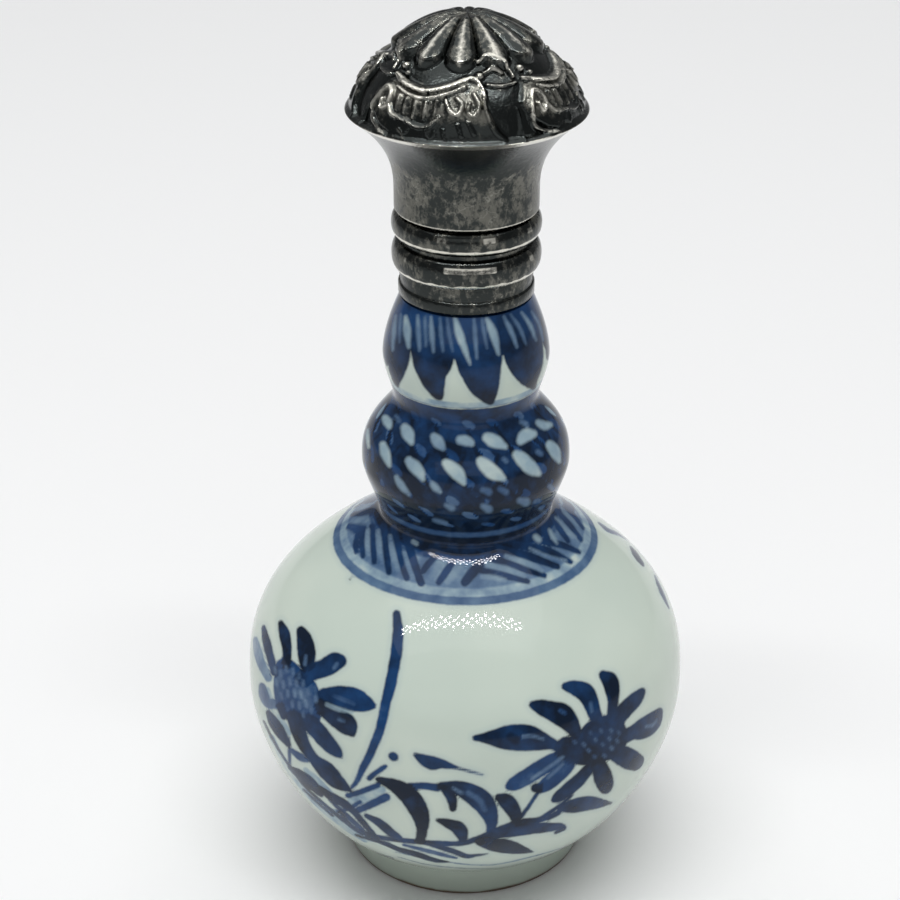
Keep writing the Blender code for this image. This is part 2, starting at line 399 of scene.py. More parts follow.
class Layer:
    """Signed distance to the nearest stroke's edge, positive inside, and that stroke's tone."""

    def __init__(self, points):
        self.points = points
        self.edge = np.full(len(points), -FAR)
        self.tone = np.zeros(len(points))
        self.views = {}

    def view(self, angle):
        """All points as the picture would show them if a copy stood at its first place."""
        if angle not in self.views:
            self.views[angle] = as_seen(turned_back(self.points, angle))
        return self.views[angle]

    def draw(self, stroke, tone, end_tone=None, angle=None):
        """Adds one stroke, whose tone may run from its start to its end.

        A stroke from the picture also has the angle in degrees by which its copy is turned.
        """
        points = self.points if angle is None else self.view(angle)
        spots = stroke[:, :3] if angle is None else as_seen(stroke[:, :3])
        widths = stroke[:, 3]
        tones = np.linspace(tone, tone if end_tone is None else end_tone, len(stroke))
        low = (spots - widths[:, None]).min(axis=0) - FAR
        high = (spots + widths[:, None]).max(axis=0) + FAR
        near = np.nonzero(((points > low) & (points < high)).all(axis=1))[0]
        best = np.full(len(near), -FAR)
        best_tone = np.zeros(len(near))
        for spot, width, shade in zip(spots, widths, tones):
            inside = width - np.linalg.norm(points[near] - spot, axis=1)
            closer = inside > best
            best[closer] = inside[closer]
            best_tone[closer] = shade
        old = self.edge[near]
        old_tone = self.tone[near]
        both = (old > -0.05) & (best > -0.05)
        nearer = np.where(best > old, best_tone, old_tone)
        self.tone[near] = np.where(both, np.maximum(old_tone, best_tone), nearer)
        self.edge[near] = np.maximum(old, best)


def draw_seen(layer, strokes, copies=(), widen=1.0):
    """Draws strokes (tone, points in the picture), and their copies at some angles round the bottle."""
    rows = strokes.values() if isinstance(strokes, dict) else strokes
    for tone, *points in rows:
        stroke = seen_stroke(points) * (1.0, 1.0, 1.0, widen)
        start, end = tone if isinstance(tone, tuple) else (tone, tone)
        for angle in (0.0,) + copies:
            layer.draw(stroke, start, end, angle)


# The painting, stroke by stroke: its tone, or the tones of its start and end, and then
# picture x, picture y and half width of each point along it, in pixels.

LEFT_FLOWER = {
    "disc": (0.68, (286, 672, 14), (291, 684, 20), (297, 698, 26), (303, 711, 20)),
    "edge_petal": (0.4, (255.4, 641, 4.5), (257.6, 652, 6.5), (261.4, 664, 6), (268, 677, 5)),
    "upper_left_petal": (0.86, (263.5, 628, 3), (265.5, 638, 5), (268, 648, 5.5), (271, 660, 5),
        (274, 672, 4.5)),
    "top_petal": (0.95, (281, 623.5, 3.5), (284.5, 634.7, 6.5), (287, 649.5, 5.4), (286.5, 664, 5)),
    "tall_petal": (0.97, (301, 631, 5), (304.3, 639.6, 8.5), (306.3, 651.5, 10), (307, 663, 8.4)),
    "upper_right_petal": (0.86, (302, 679, 8), (313, 671.6, 8.5), (324, 668.3, 9), (334, 662.3, 9.5),
        (340, 661, 7)),
    "right_petal": (0.8, (325, 696, 8), (339, 697, 11), (353.7, 699.5, 12), (364.6, 703, 8.5),
        (373.5, 706, 3)),
    "low_right_petal": (0.95, (322, 707, 8), (334, 715.7, 10.5), (345, 723, 11.5), (350, 729, 7.6),
        (352.8, 735.5, 2)),
    "lower_petal": (0.86, (309, 722.6, 9), (318, 731.5, 10), (328, 743.4, 9), (336, 751.3, 6.5),
        (342, 758, 1)),
    "bottom_petal": (0.9, (294.4, 718.7, 9), (298.4, 731.5, 9), (304.3, 745.4, 7.5), (314, 759, 6.5),
        (326.6, 771, 10.5), (337, 781.6, 9), (351, 791, 2)),
    "low_left_petal": (0.88, (269, 714, 4.5), (274, 723, 7.5), (280, 732, 7.5), (288, 744, 4)),
    "brown_petal": (0.9, (280.6, 707.8, 5), (283.5, 715.7, 4.4)),
    "grey_petal": (0.55, (262.6, 688, 5.5), (264, 696, 7.5), (268, 703, 6), (276, 704, 5)),
}

LEFT_FLOWER_LIGHTS = (
    # Cells of the disc
    (0.5, (275, 668, 1.3), (275.6, 672, 1.5)), (0.5, (280.4, 671, 1.3), (281, 676, 1.5)),
    (0.52, (286, 667, 1.3), (286.6, 671, 1.5)), (0.46, (293, 669, 1.5), (293.4, 674, 1.7)),
    (0.54, (299, 673, 1.2), (299.4, 677, 1.4)), (0.5, (276, 680, 1.3), (276.6, 685, 1.5)),
    (0.46, (283, 682, 1.5), (283.6, 687, 1.6)), (0.44, (289.6, 679, 1.5), (290.2, 684, 1.7)),
    (0.46, (296, 681, 1.5), (296.6, 686, 1.6)), (0.52, (303, 681, 1.3), (303.4, 685, 1.4)),
    (0.5, (281, 694, 1.4), (281.6, 698, 1.5)), (0.44, (287.6, 691, 1.5), (288.2, 696, 1.7)),
    (0.42, (294.2, 691, 1.5), (294.8, 696, 1.7)), (0.44, (300.6, 692, 1.5), (301.2, 697, 1.7)),
    (0.5, (308, 689, 1.3), (308.4, 694, 1.5)), (0.52, (315, 687, 1.3), (315.4, 692, 1.4)),
    (0.48, (292, 702, 1.4), (292.6, 706, 1.6)), (0.44, (299, 703, 1.5), (299.6, 708, 1.7)),
    (0.44, (305.6, 701, 1.5), (306.2, 706, 1.6)), (0.46, (315.6, 696, 1.5), (316, 701, 1.6)),
    (0.54, (303, 712, 1.3), (303.6, 716, 1.4)), (0.54, (311, 709, 1.2), (311.4, 713, 1.3)),
    # Streaks on the petals
    (0.5, (305.8, 656, 1.2), (305, 664, 1.6)), (0.2, (327, 704.4, 1.6), (338, 709, 1.8), (352, 712.6, 1.2)),
    (0.6, (334, 696, 1.2), (344, 700, 1.6), (354, 704, 1.2)), (0.55, (339, 719.6, 1.2), (344, 721, 1.2)),
    (0.55, (334, 668, 1.4), (337, 664, 1.4)),
)

LEFT_LEAVES = {
    "limb_stem": (0.84, (264, 722, 1.8), (272, 738, 2.2), (284, 758, 2.2), (296, 775, 2.4),
        (308, 789.6, 2.6), (330, 809.4, 3), (346, 822, 3.6), (362, 834, 3)),
    "upright_stem": (0.66, (288.8, 738, 1.8), (289.4, 752, 2), (289.6, 766, 2)),
    "bud": (0.62, (292, 751, 3.4), (300, 757, 4.4), (307, 760, 3)),
    "leaf": (0.88, (290, 768, 3), (300, 775, 7), (311, 784, 8), (321, 795, 3)),
    "low_leaf": (0.9, (318, 787, 3.4), (330, 796, 5.6), (343, 803, 5.8), (354, 812, 4.4), (366, 826, 4),
        (376, 838, 3.6)),
    "long_rail": (0.8, (330, 800, 2.4), (344, 813, 3.4), (356, 824, 3.6), (368, 836, 3.6)),
    "low_rail": (0.84, (312, 812, 2), (330, 828, 2.6), (350, 842, 3), (372, 852, 3), (392, 858, 2)),
    "short_root": (0.8, (304, 790, 2), (318, 803, 2.6), (332, 815, 2.6)),
    "rung_1": (0.74, (348, 795.6, 3.2), (362, 791.4, 3.2), (378, 785, 3)),
    "rung_2": (0.74, (354, 812, 3.6), (370, 805, 4.2), (386.3, 797, 4.6)),
    "rung_3": (0.76, (369.5, 778, 3.2), (377, 772, 2.8), (385, 766.7, 2.6)),
    "rung_4": (0.7, (338, 812, 2.6), (350, 808, 2.6), (360, 802, 2.4)),
    "inner_leaf": (0.9, (366.7, 815.8, 3), (379.3, 822.8, 5.4), (389, 831, 5.8), (398, 838, 5)),
}

# Painted shade: pale washes that darken the glaze between the strokes of the lower left belly and along its
# edge
LEFT_SHADE_WASHES = {
    "between_rungs": (0.2, (352, 802, 5), (366, 797, 6), (382, 790, 4)),
    "under_leaf": (0.2, (306, 770, 3), (320, 784, 5), (340, 806, 5)),
    "under_rails": (0.24, (336, 812, 4), (352, 826, 5), (370, 839, 4)),
    "by_flower": (0.16, (268, 690, 3), (275, 712, 5), (288, 732, 4)),
    "along_edge": (0.17, (272, 738, 4), (289, 770, 5), (311, 798, 5), (338, 822, 5), (364, 840, 4)),
}


BLADE = {
    "blade": ((0.86, 0.66), (396.5, 614, 4), (398, 631, 5.6), (396.5, 651, 6), (393, 672, 5.8),
        (390, 687, 5.9), (386, 702, 5.2), (381.7, 723, 5), (378, 735, 4.8), (371.5, 751, 4.5),
        (364, 766, 4), (357, 781, 2.8), (352, 787, 2)),
    "dot": (0.84, (393, 756.4, 4.8), (393.8, 757, 4.8)),
}

CENTRE_LEAVES = {
    "tail_leaf": ((0.92, 0.72), (415.4, 754.7, 2.5), (424, 760, 6), (432, 763, 7.5), (442, 764, 5),
        (457, 768, 2.2), (470.5, 771.5, 1.8), (483, 774.6, 1.3)),
    "curved_leaf": (1.0, (378, 779.3, 3), (396, 786.3, 8), (408.8, 796, 10.5), (417, 807.4, 10.5),
        (421.4, 818.6, 8.6), (422, 829.8, 6), (420, 841, 5)),
    "bridge": (0.78, (408.8, 786.4, 4.2), (424, 786, 4), (438, 787.7, 4.5)),
    "arch": ((0.94, 0.8), (441, 785.6, 4), (456.5, 787.5, 7.5), (470.5, 793, 10.5), (482, 801.5, 11.5),
        (489, 813, 9), (491.6, 824, 6), (490, 835, 4)),
    "arch_branch": (0.95, (446.6, 789, 6), (452, 799, 5.5), (453, 808.8, 3.5)),
    "small_leaf": (0.97, (438, 820, 2.5), (449.4, 824, 6), (459, 828.8, 8), (463, 838.4, 5)),
}

GROUND_LINES = {
    "main_line": (0.86, (340, 812, 2), (354, 828, 3), (375, 836.4, 3.6), (396, 839.6, 3.6),
        (424, 842.4, 3.6), (452, 843.8, 3.6), (466, 842.4, 3.6), (480, 838, 4)),
    "root_line": (0.92, (356.8, 835.4, 2.4), (382, 842.4, 3.4), (399, 849.4, 4), (418.6, 855, 4.6),
        (435.4, 860.4, 3.6), (448, 862, 1.5)),
    "lower_line": (0.9, (424, 843, 2.6), (438, 846.6, 3.6), (452, 850.8, 4), (466, 856, 3.6),
        (476, 855.4, 2.2), (488, 853.7, 1)),
    "between_lines": (0.62, (404, 845, 2), (424, 850, 3), (444, 855, 3), (456, 858, 1.6)),
}

RIGHT_FLOWER = {
    "disc": (0.9, (597, 738, 20), (604.5, 738.6, 24), (610, 741, 20)),
    "disc_foot": (0.92, (566, 748, 12), (576, 750, 15), (590, 752, 15)),
    "left_petal": (0.9, (475, 738, 3), (487, 738, 6), (500, 738, 10.5), (513, 737.5, 13.5),
        (527, 738, 13.5), (540, 741, 10), (552, 744, 6), (560, 747, 5)),
    "upper_left_petal": (0.97, (532, 704.5, 3.5), (541, 707, 7.5), (552, 711, 10), (562, 715, 11.5),
        (569, 722, 9.5), (575, 731, 7)),
    "upper_petal": (0.9, (565, 686.4, 4), (575, 688, 7.5), (585, 692.5, 9.5), (590, 700, 8.8),
        (593, 709, 7.6), (596, 717, 7)),
    "top_petal": (0.93, (603, 675, 4.5), (610, 681, 8.5), (612.5, 690, 8), (613, 700, 6.2),
        (612, 713, 5.5)),
    "upper_right_petal": (0.92, (642, 692, 4.5), (636, 699, 8), (627, 708, 9), (618, 718, 9)),
    "right_petal": (0.86, (659, 713, 5.5), (653, 722, 11.5), (644, 728, 12), (634, 732, 8.5),
        (624, 737, 8)),
    "low_right_petal": (0.88, (618, 753, 10), (629, 759, 11), (637, 763, 9)),
    "lower_petal": (0.97, (599, 765, 8), (603, 777, 10), (606, 786, 8.5), (607, 790, 5)),
    "low_left_petal": (0.92, (592, 765, 6), (580, 779, 7.4), (570, 788, 8), (560, 796, 7), (554, 800, 3.5)),
    "lobed_petal": (0.72, (560, 757, 8), (546, 765, 9), (530, 775, 9), (516, 783, 8), (510, 786, 5)),
    "lobed_petal_edge": (0.76, (568, 765, 8), (558, 775, 8.5), (547, 784, 8), (540, 789, 5)),
    "knob": (1.0, (536, 788, 5.4), (538, 788, 5.4)),
}

RIGHT_FLOWER_LIGHTS = (
    # Faint dabs on the disc
    (0.6, (574, 741, 1.2), (575.4, 742.6, 1.4)), (0.56, (583, 744, 1.4), (584.6, 745.6, 1.5)),
    (0.54, (588, 750, 1.4), (589.4, 751.4, 1.5)), (0.58, (594, 756, 1.2), (595.4, 757.4, 1.3)),
    (0.56, (603.6, 755, 1.3), (605, 756.6, 1.4)), (0.52, (611, 747, 1.5), (612.4, 748.8, 1.6)),
    (0.52, (616.6, 740, 1.4), (618, 741.6, 1.5)), (0.56, (609, 738, 1.2), (610.2, 739.4, 1.3)),
    (0.6, (602, 744, 1.2), (603.2, 745.4, 1.3)), (0.58, (595, 739, 1.2), (596.2, 740.4, 1.3)),
    (0.58, (610.6, 729.6, 1.3), (612, 731, 1.4)), (0.58, (618, 732, 1.2), (619.2, 733.6, 1.3)),
    (0.6, (600.4, 730, 1.2), (601.6, 731.6, 1.3)), (0.62, (590, 732, 1.1), (591.2, 733.4, 1.2)),
    # Streaks and blots on the petals
    (0.46, (523, 736.4, 1.6), (532, 736, 1.4), (543, 739, 1.0)), (1.0, (511, 737, 4.6), (516, 740, 4.6)),
    (0.62, (560, 710.6, 1.6), (565, 713.4, 1.6)), (0.6, (590.4, 703, 1.5), (592, 711, 1.6)),
    (0.48, (646, 726.4, 1.0), (652.6, 725, 1.8), (657, 720, 1.0)),
    (0.4, (563, 757, 1.2), (549, 767, 1.5), (532, 778.6, 1.0)), (0.48, (563, 764, 1.1), (548, 778, 1.3)),
    # Streaks on the arch beside it
    (0.46, (453, 788, 1.2), (461, 793, 1.5)), (0.6, (468, 793, 2.4), (479, 800, 3), (485, 810, 2.4)),
)

RIGHT_LEAVES = {
    "stem": (0.84, (538, 792, 2.4), (529, 806, 2.2), (520, 818, 2.8)),
    "small_leaf": (0.95, (498.6, 797, 4), (507, 801.7, 8.4), (514, 812, 7.4), (517, 822.8, 4.4)),
    "long_branch": (0.9, (466, 842.4, 3), (480, 838.5, 4.4), (501, 831, 6.6), (521, 823.6, 6),
        (539, 819, 3), (552, 811, 2.6), (562, 804, 2.4), (572, 795, 2.2)),
    "second_stem": (0.8, (521, 824, 2.2), (539, 821.6, 2.2), (549.5, 816.5, 2.2), (565, 809, 2.2)),
    "root_piece": (0.88, (548, 818, 3.5), (558, 813, 3.5)),
    "side_leaf": (0.86, (560, 808, 4), (573, 806, 8.6), (588, 803.6, 9), (601, 803.6, 5.6),
        (611, 803.4, 1.5)),
    "hook_leaf": (0.88, (497, 834, 6), (512, 831, 8), (529, 828.6, 8), (547, 827.6, 6.4),
        (559.7, 826.7, 4.8), (563, 829, 3.4), (556, 832.5, 2.4)),
    "lower_leaf": (0.94, (480, 842, 5), (494, 844.6, 9), (508, 847, 9.4), (521, 850, 6), (533, 852, 1)),
}

EDGE_SPRIG = {
    "upper_tip": (0.7, (599, 523, 1.5), (608, 530, 2.5), (618, 534, 2), (627, 539.5, 1)),
    "middle_bud": (0.9, (631.7, 548.5, 2.5), (636, 555, 4), (642.5, 564, 2.5)),
    "lower_tip": (0.8, (655, 576.5, 1.5), (661.6, 592, 3), (669, 608, 1)),
}

# Behind the right edge: azimuth, height and half width of each point
SIDE_SPRIG = {
    "branch": (0.8, (97, 31.3, 0.2), (103, 31.6, 0.3), (110, 32.2, 0.32), (117, 33.0, 0.28),
        (124, 34.4, 0.16)),
    "leaf": (0.9, (124, 34.4, 0.2), (128, 35.8, 0.7), (131, 37.2, 0.2)),
}

HATCHING = (
    # Left
    (0.78, (357, 535, 2.2), (356, 545, 2.6), (356, 552, 1.8)),
    (0.78, (362.3, 529, 2.4), (362, 542, 2.7), (363, 556, 2)),
    (0.8, (372, 526.8, 2.6), (372.6, 545, 2.8), (374.6, 562, 2.2)),
    (0.82, (383.6, 527, 3), (385.6, 550, 3), (389, 572, 2.4)),
    (0.82, (394, 528, 3), (400, 556, 3), (407, 578, 2.6)),
    (0.84, (406, 535, 3.2), (413, 560, 3.4), (421, 583, 3)),
    # Middle
    (0.8, (437, 555, 2.4), (430, 562, 2.6), (423, 571, 2.4)),
    (0.82, (452, 563, 2.6), (446, 572, 3), (439, 582, 2.6)),
    (0.86, (480.6, 563, 3.6), (473, 572, 4), (465, 582, 3.4)),
    # Right
    (0.84, (476, 569, 2.6), (501.4, 574.4, 3), (528, 581.6, 2)),
    (0.86, (488, 557, 3), (517.6, 566.7, 3), (544.5, 575.6, 2)),
    (0.86, (500, 548.8, 3), (530.6, 557, 3.4), (557.5, 566.7, 2.2)),
    (0.86, (516, 544.7, 3), (547, 550.8, 3.2), (570.5, 561.8, 2)),
    (0.84, (537, 540, 2.6), (562, 545.2, 2.8), (579.4, 552, 1.8)),
    # Far right
    (0.84, (543.7, 524, 2.8), (546, 534, 3), (549, 545, 2)),
    (0.8, (553, 517, 2.6), (560, 529, 2.6), (568, 541, 2)),
    (0.8, (557, 509, 2.4), (569, 524, 2.6), (581, 539.6, 2)),
    (0.76, (565, 506, 2.2), (574, 516, 2.2), (583, 528, 1.6)),
)

HATCH_LIGHTS = (
    # Left
    (0.3, (368, 530, 1.6), (367.4, 542, 2.4), (368.6, 555, 1.6)),
    (0.32, (378.4, 531, 1.6), (379.6, 546, 2.4), (382, 562, 1.6)),
    (0.34, (390, 536, 1.6), (393, 552, 2.4), (398, 570, 1.6)),
    (0.4, (404, 552, 1.4), (408, 566, 2), (413, 578, 1.4)), (0.24, (413, 541.6, 1.6), (416.6, 543.6, 1.6)),
    # Middle
    (0.38, (441, 562, 1.6), (436, 569, 2.4), (430, 577, 1.6)),
    (0.36, (459, 568, 2), (454, 575, 3), (450, 581, 1.6)),
    # Right
    (0.3, (482, 576.6, 1.6), (492, 577.4, 2.4), (505, 580, 1.4)),
    (0.34, (486.7, 565.6, 1.8), (505, 568.6, 2.8), (524, 575.6, 1.6)),
    (0.32, (506, 556, 1.8), (525, 562.6, 2.6), (542, 570.4, 1.6)),
    (0.34, (530, 548.6, 1.2), (548, 556.6, 1.6), (566, 560.6, 1.2)),
    (0.28, (535.6, 537, 3), (538.6, 539.6, 3)),
    # Far right
    (0.28, (549.6, 530, 1.4), (553, 537, 2.2), (556.6, 543, 1.2)),
    (0.34, (556, 518, 1.2), (565, 527, 1.6), (575, 537, 1.2)),
    (0.36, (563, 511.6, 1.2), (572, 520, 1.4), (580, 531, 1.2)),
)

BULB_CELLS = (
    # Upper row
    (0.2, (367.5, 430, 1.2), (367.6, 438, 2), (368.6, 447, 1.2)),
    (0.24, (384.6, 418, 3), (387.6, 422, 4.4), (389.6, 427, 2.4)),
    (0.22, (405, 428, 4.4), (408, 434, 6), (411.6, 443, 2.2)),
    (0.28, (434, 436.6, 3.6), (438, 442, 5.6), (443, 448.6, 2.4)),
    (0.28, (460.6, 440, 4.4), (466, 440.6, 5), (471, 443, 3.6)),
    (0.2, (487, 437.6, 4.6), (494, 441, 6.4), (505, 446.6, 2.6)),
    (0.2, (520.6, 440.6, 4), (526, 435, 6.4), (533.6, 433.6, 3.4)),
    (0.24, (539, 423, 3.4), (544.6, 425.6, 4.4), (550.6, 424.6, 2.4)),
    (0.5, (521, 422, 2), (526, 424, 2.4)), (0.56, (396, 416, 1.6), (399, 421, 2)),
    # Middle row
    (0.2, (383, 445, 3.6), (385.4, 454, 4.8), (389.6, 465.6, 1.8)),
    (0.2, (409, 460.6, 4), (414, 466, 6), (419, 472, 5.2), (423, 479.6, 1.8)),
    (0.17, (446, 463, 4.0), (451, 467, 6.0), (458, 474, 6.2), (464, 483, 2.2)),
    (0.16, (480.6, 461, 4.4), (486, 466, 6.6), (494, 473, 6.8), (503.6, 478.6, 2.6)),
    (0.16, (517, 455, 4.6), (523, 460, 6.8), (531, 468, 6.6), (539, 474, 2.4)),
    (0.2, (550, 445, 4.4), (554.6, 451, 6), (559, 461, 2.4)),
    # Lower row
    (0.3, (396.6, 477, 2), (400.6, 484.6, 3.6), (409, 494.6, 1.6)),
    (0.34, (431.6, 482.6, 1.6), (434.6, 486.6, 3.6), (440, 492, 1.6)),
    (0.56, (483, 490, 2.6), (489, 492, 3.4)), (0.58, (500, 489, 2.4), (506, 492, 3)),
    # Small ones between
    (0.54, (538, 452, 2.4), (541, 454, 2.4)), (0.52, (504, 459, 2), (506, 461, 2.2)),
    # Foot of the bulb
    (0.46, (446, 505, 2), (451.6, 508, 3.4)), (0.44, (483, 506, 2.6), (488.6, 509, 4)),
    (0.42, (519.6, 500.6, 3), (526, 502, 4.4)), (0.52, (549.6, 486, 2.4), (553, 489, 2.4)),
    (0.44, (434, 520, 1.6), (440, 521.6, 2.4), (446, 523, 1.6)),
)

LAPPETS = {
    "left_edge": ((0.8, 0.95), (386, 334, 5), (385.6, 350, 5), (387.6, 364, 2.4)),
    "left": ((0.8, 1.0), (397, 318, 14), (397.6, 340, 14), (398, 357, 12.6), (397.2, 369, 9.4),
        (396.7, 379.4, 5.2), (397.8, 386, 1.6)),
    "middle_left": ((0.78, 1.0), (430, 318, 22), (431.6, 340, 22.4), (432.7, 358, 21), (432.2, 369, 16),
        (433.8, 381, 11.6), (437.6, 393, 6.6), (440.5, 398, 2.6)),
    "middle_right": ((0.78, 1.0), (476, 318, 25), (477.6, 340, 25), (478.8, 358, 23.6), (480.6, 369, 20.6),
        (483.2, 381, 16.6), (487.4, 393, 10), (490.4, 401, 4)),
    "right": ((0.8, 1.0), (519, 316, 22), (522, 338, 22.6), (525, 357, 20.6), (527, 368, 15.8),
        (529.4, 377, 10.4), (533, 385.6, 4.4)),
    "right_edge": ((0.8, 0.9), (546, 330, 4), (548, 346, 4), (547.6, 358, 2)),
}

LAPPET_LIGHTS = (
    (0.26, (405.6, 317, 1.6), (407, 330, 4.0), (408.6, 347, 1.4)),
    (0.4, (417.6, 316, 1.0), (418.4, 332, 2.2), (419.6, 350, 0.9)),
    (0.34, (431, 317, 1.0), (432, 334, 2.3), (433.6, 352, 0.9)),
    (0.46, (425, 317, 0.8), (425.4, 332, 1.4), (426, 346, 0.7)),
    (0.42, (440, 318, 0.8), (441, 334, 1.6), (443, 351, 0.7)),
    (0.24, (455, 318, 1.6), (459.4, 334, 3.8), (465, 350, 2.4), (470, 364, 0.8)),
    (0.42, (474, 319, 0.9), (475.4, 338, 1.8), (477, 358, 0.8)),
    (0.24, (487, 319, 1.6), (493, 333, 4.0), (498.6, 354, 1.2)),
    (0.46, (482, 319, 0.8), (484.4, 334, 1.3), (487, 348, 0.6)),
    (0.34, (504, 317, 1.0), (511, 331, 2.4), (517, 347, 0.9)),
    (0.44, (511, 315, 0.8), (519.6, 328, 1.7), (526, 344, 0.8)),
    (0.36, (522, 313, 1.0), (530, 325, 2.2), (536, 340, 0.9)),
    (0.44, (532, 312, 0.8), (539, 324, 1.5), (543, 340, 0.7)),
    (0.36, (395.6, 316, 1.0), (393.8, 331, 2.3), (392.6, 350, 0.9)),
    (0.46, (400.8, 315, 0.8), (400, 327, 1.4), (399.6, 342, 0.7)),
    (0.5, (447, 318, 0.7), (449.4, 336, 1.3), (452.6, 351, 0.7)),
)

FOOT_LINES = {
    "upper_line": (0.52, (396, 852, 0.8), (422, 858, 0.9), (450, 862.4, 1.0), (475.5, 865, 1.0),
        (501, 863.7, 1.0), (539, 854.8, 0.9), (565, 847, 0.7)),
    "lower_line": (0.66, (398, 857, 0.6), (430, 865, 0.8), (473, 868.6, 0.9), (508, 866.8, 0.8),
        (546, 856, 0.6)),
}

MARKS = {
    "speck": (1.0, (350, 578.6, 1.1), (350.4, 579.2, 1.1)),
}


# Materials


class Nodes:
    """Short ways to wire a material's nodes."""

    def __init__(self, name):
        self.material = bpy.data.materials.new(name)
        self.material.use_nodes = True
        self.tree = self.material.node_tree
        self.shader = self.tree.nodes["Principled BSDF"]

    def add(self, kind, **settings):
        node = self.tree.nodes.new(kind)
        for key, value in settings.items():
            setattr(node, key, value)
        return node

    def link(self, source, target):
        if isinstance(source, (int, float, tuple)):
            target.default_value = source
        else:
            self.tree.links.new(source, target)

    def attribute(self, name):
        return self.add("ShaderNodeAttribute", attribute_name=name).outputs["Fac"]

    def place(self):
        return self.add("ShaderNodeTexCoord").outputs["Object"]

    def axis(self, letter):
        split = self.add("ShaderNodeSeparateXYZ")
        self.link(self.place(), split.inputs[0])
        return split.outputs[letter]

    def math(self, operation, first, second=0.0):
        node = self.add("ShaderNodeMath", operation=operation)
        self.link(first, node.inputs[0])
        self.link(second, node.inputs[1])
        return node.outputs[0]

    def varied(self, value, noise, amount):
        """A value that a noise around one half moves up and down."""
        swing = self.math("MULTIPLY", self.math("SUBTRACT", noise, 0.5), amount)
        return self.math("ADD", value, swing)

    def step(self, value, low, high, start=0.0, end=1.0):
        node = self.add("ShaderNodeMapRange", interpolation_type="SMOOTHSTEP")
        sockets = ("Value", "From Min", "From Max", "To Min", "To Max")
        for socket, source in zip(sockets, (value, low, high, start, end)):
            self.link(source, node.inputs[socket])
        return node.outputs["Result"]

    def noise(self, scale, detail=3.0, roughness=0.5, stretch=None):
        node = self.add("ShaderNodeTexNoise")
        source = self.place()
        if stretch:
            mapping = self.add("ShaderNodeMapping")
            mapping.inputs["Scale"].default_value = stretch
            self.link(source, mapping.inputs["Vector"])
            source = mapping.outputs["Vector"]
        self.link(source, node.inputs["Vector"])
        node.inputs["Scale"].default_value = scale
        node.inputs["Detail"].default_value = detail
        node.inputs["Roughness"].default_value = roughness
        return node.outputs["Fac"]

    def mix(self, share, first, second):
        node = self.add("ShaderNodeMix", data_type="RGBA")
        self.link(share, node.inputs[0])
        self.link(first, node.inputs[6])
        self.link(second, node.inputs[7])
        return node.outputs[2]

    def ramp(self, value, stops):
        node = self.add("ShaderNodeValToRGB")
        elements = node.color_ramp.elements
        while len(elements) < len(stops):
            elements.new(0.5)
        for element, (position, colour) in zip(elements, stops):
            element.position = position
            element.color = colour
        self.link(value, node.inputs["Fac"])
        return node.outputs["Color"]

    def bump(self, height, distance, strength=1.0):
        node = self.add("ShaderNodeBump")
        node.inputs["Distance"].default_value = distance
        node.inputs["Strength"].default_value = strength
        self.link(height, node.inputs["Height"])
        self.link(node.outputs["Normal"], self.shader.inputs["Normal"])


GLAZE = (0.615, 0.69, 0.612, 1.0)
GLAZE_GREY = (0.56, 0.64, 0.57, 1.0)
PALE_WASH = (0.30, 0.41, 0.47, 1.0)
LIGHT_WASH = (0.12, 0.20, 0.31, 1.0)
COBALT = (0.012, 0.052, 0.155, 1.0)
DARK_COBALT = (0.005, 0.012, 0.028, 1.0)
# Greyer glaze with painted shade, for the foot
FOOT_GREY_SHADE = (0.31, 0.355, 0.305, 1.0)
BARE_CLAY = (0.12, 0.085, 0.06, 1.0)


# Colour of a brush mark by its tone, from bare glaze to the darkest blue
TONES = ((0.0, GLAZE), (0.2, PALE_WASH), (0.4, LIGHT_WASH), (0.7, COBALT), (1.0, DARK_COBALT))

GLAZE_IOR = 1.29
GLAZE_ROUGHNESS = 0.035
CLAY_ROUGHNESS = 0.8
EDGE_WOBBLE = 0.16
HALO_REACH = 0.75
HALO_SHARE = 0.2
# Painted shade on the foot: its share, and the heights where it starts and where it is full
FOOT_SHADE_SHARE = 0.75
FOOT_SHADE_TOP_M = 0.0092
FOOT_SHADE_FULL_M = 0.0060
CLAY_TOP_M = 0.0009
CLAY_FULL_M = 0.0005


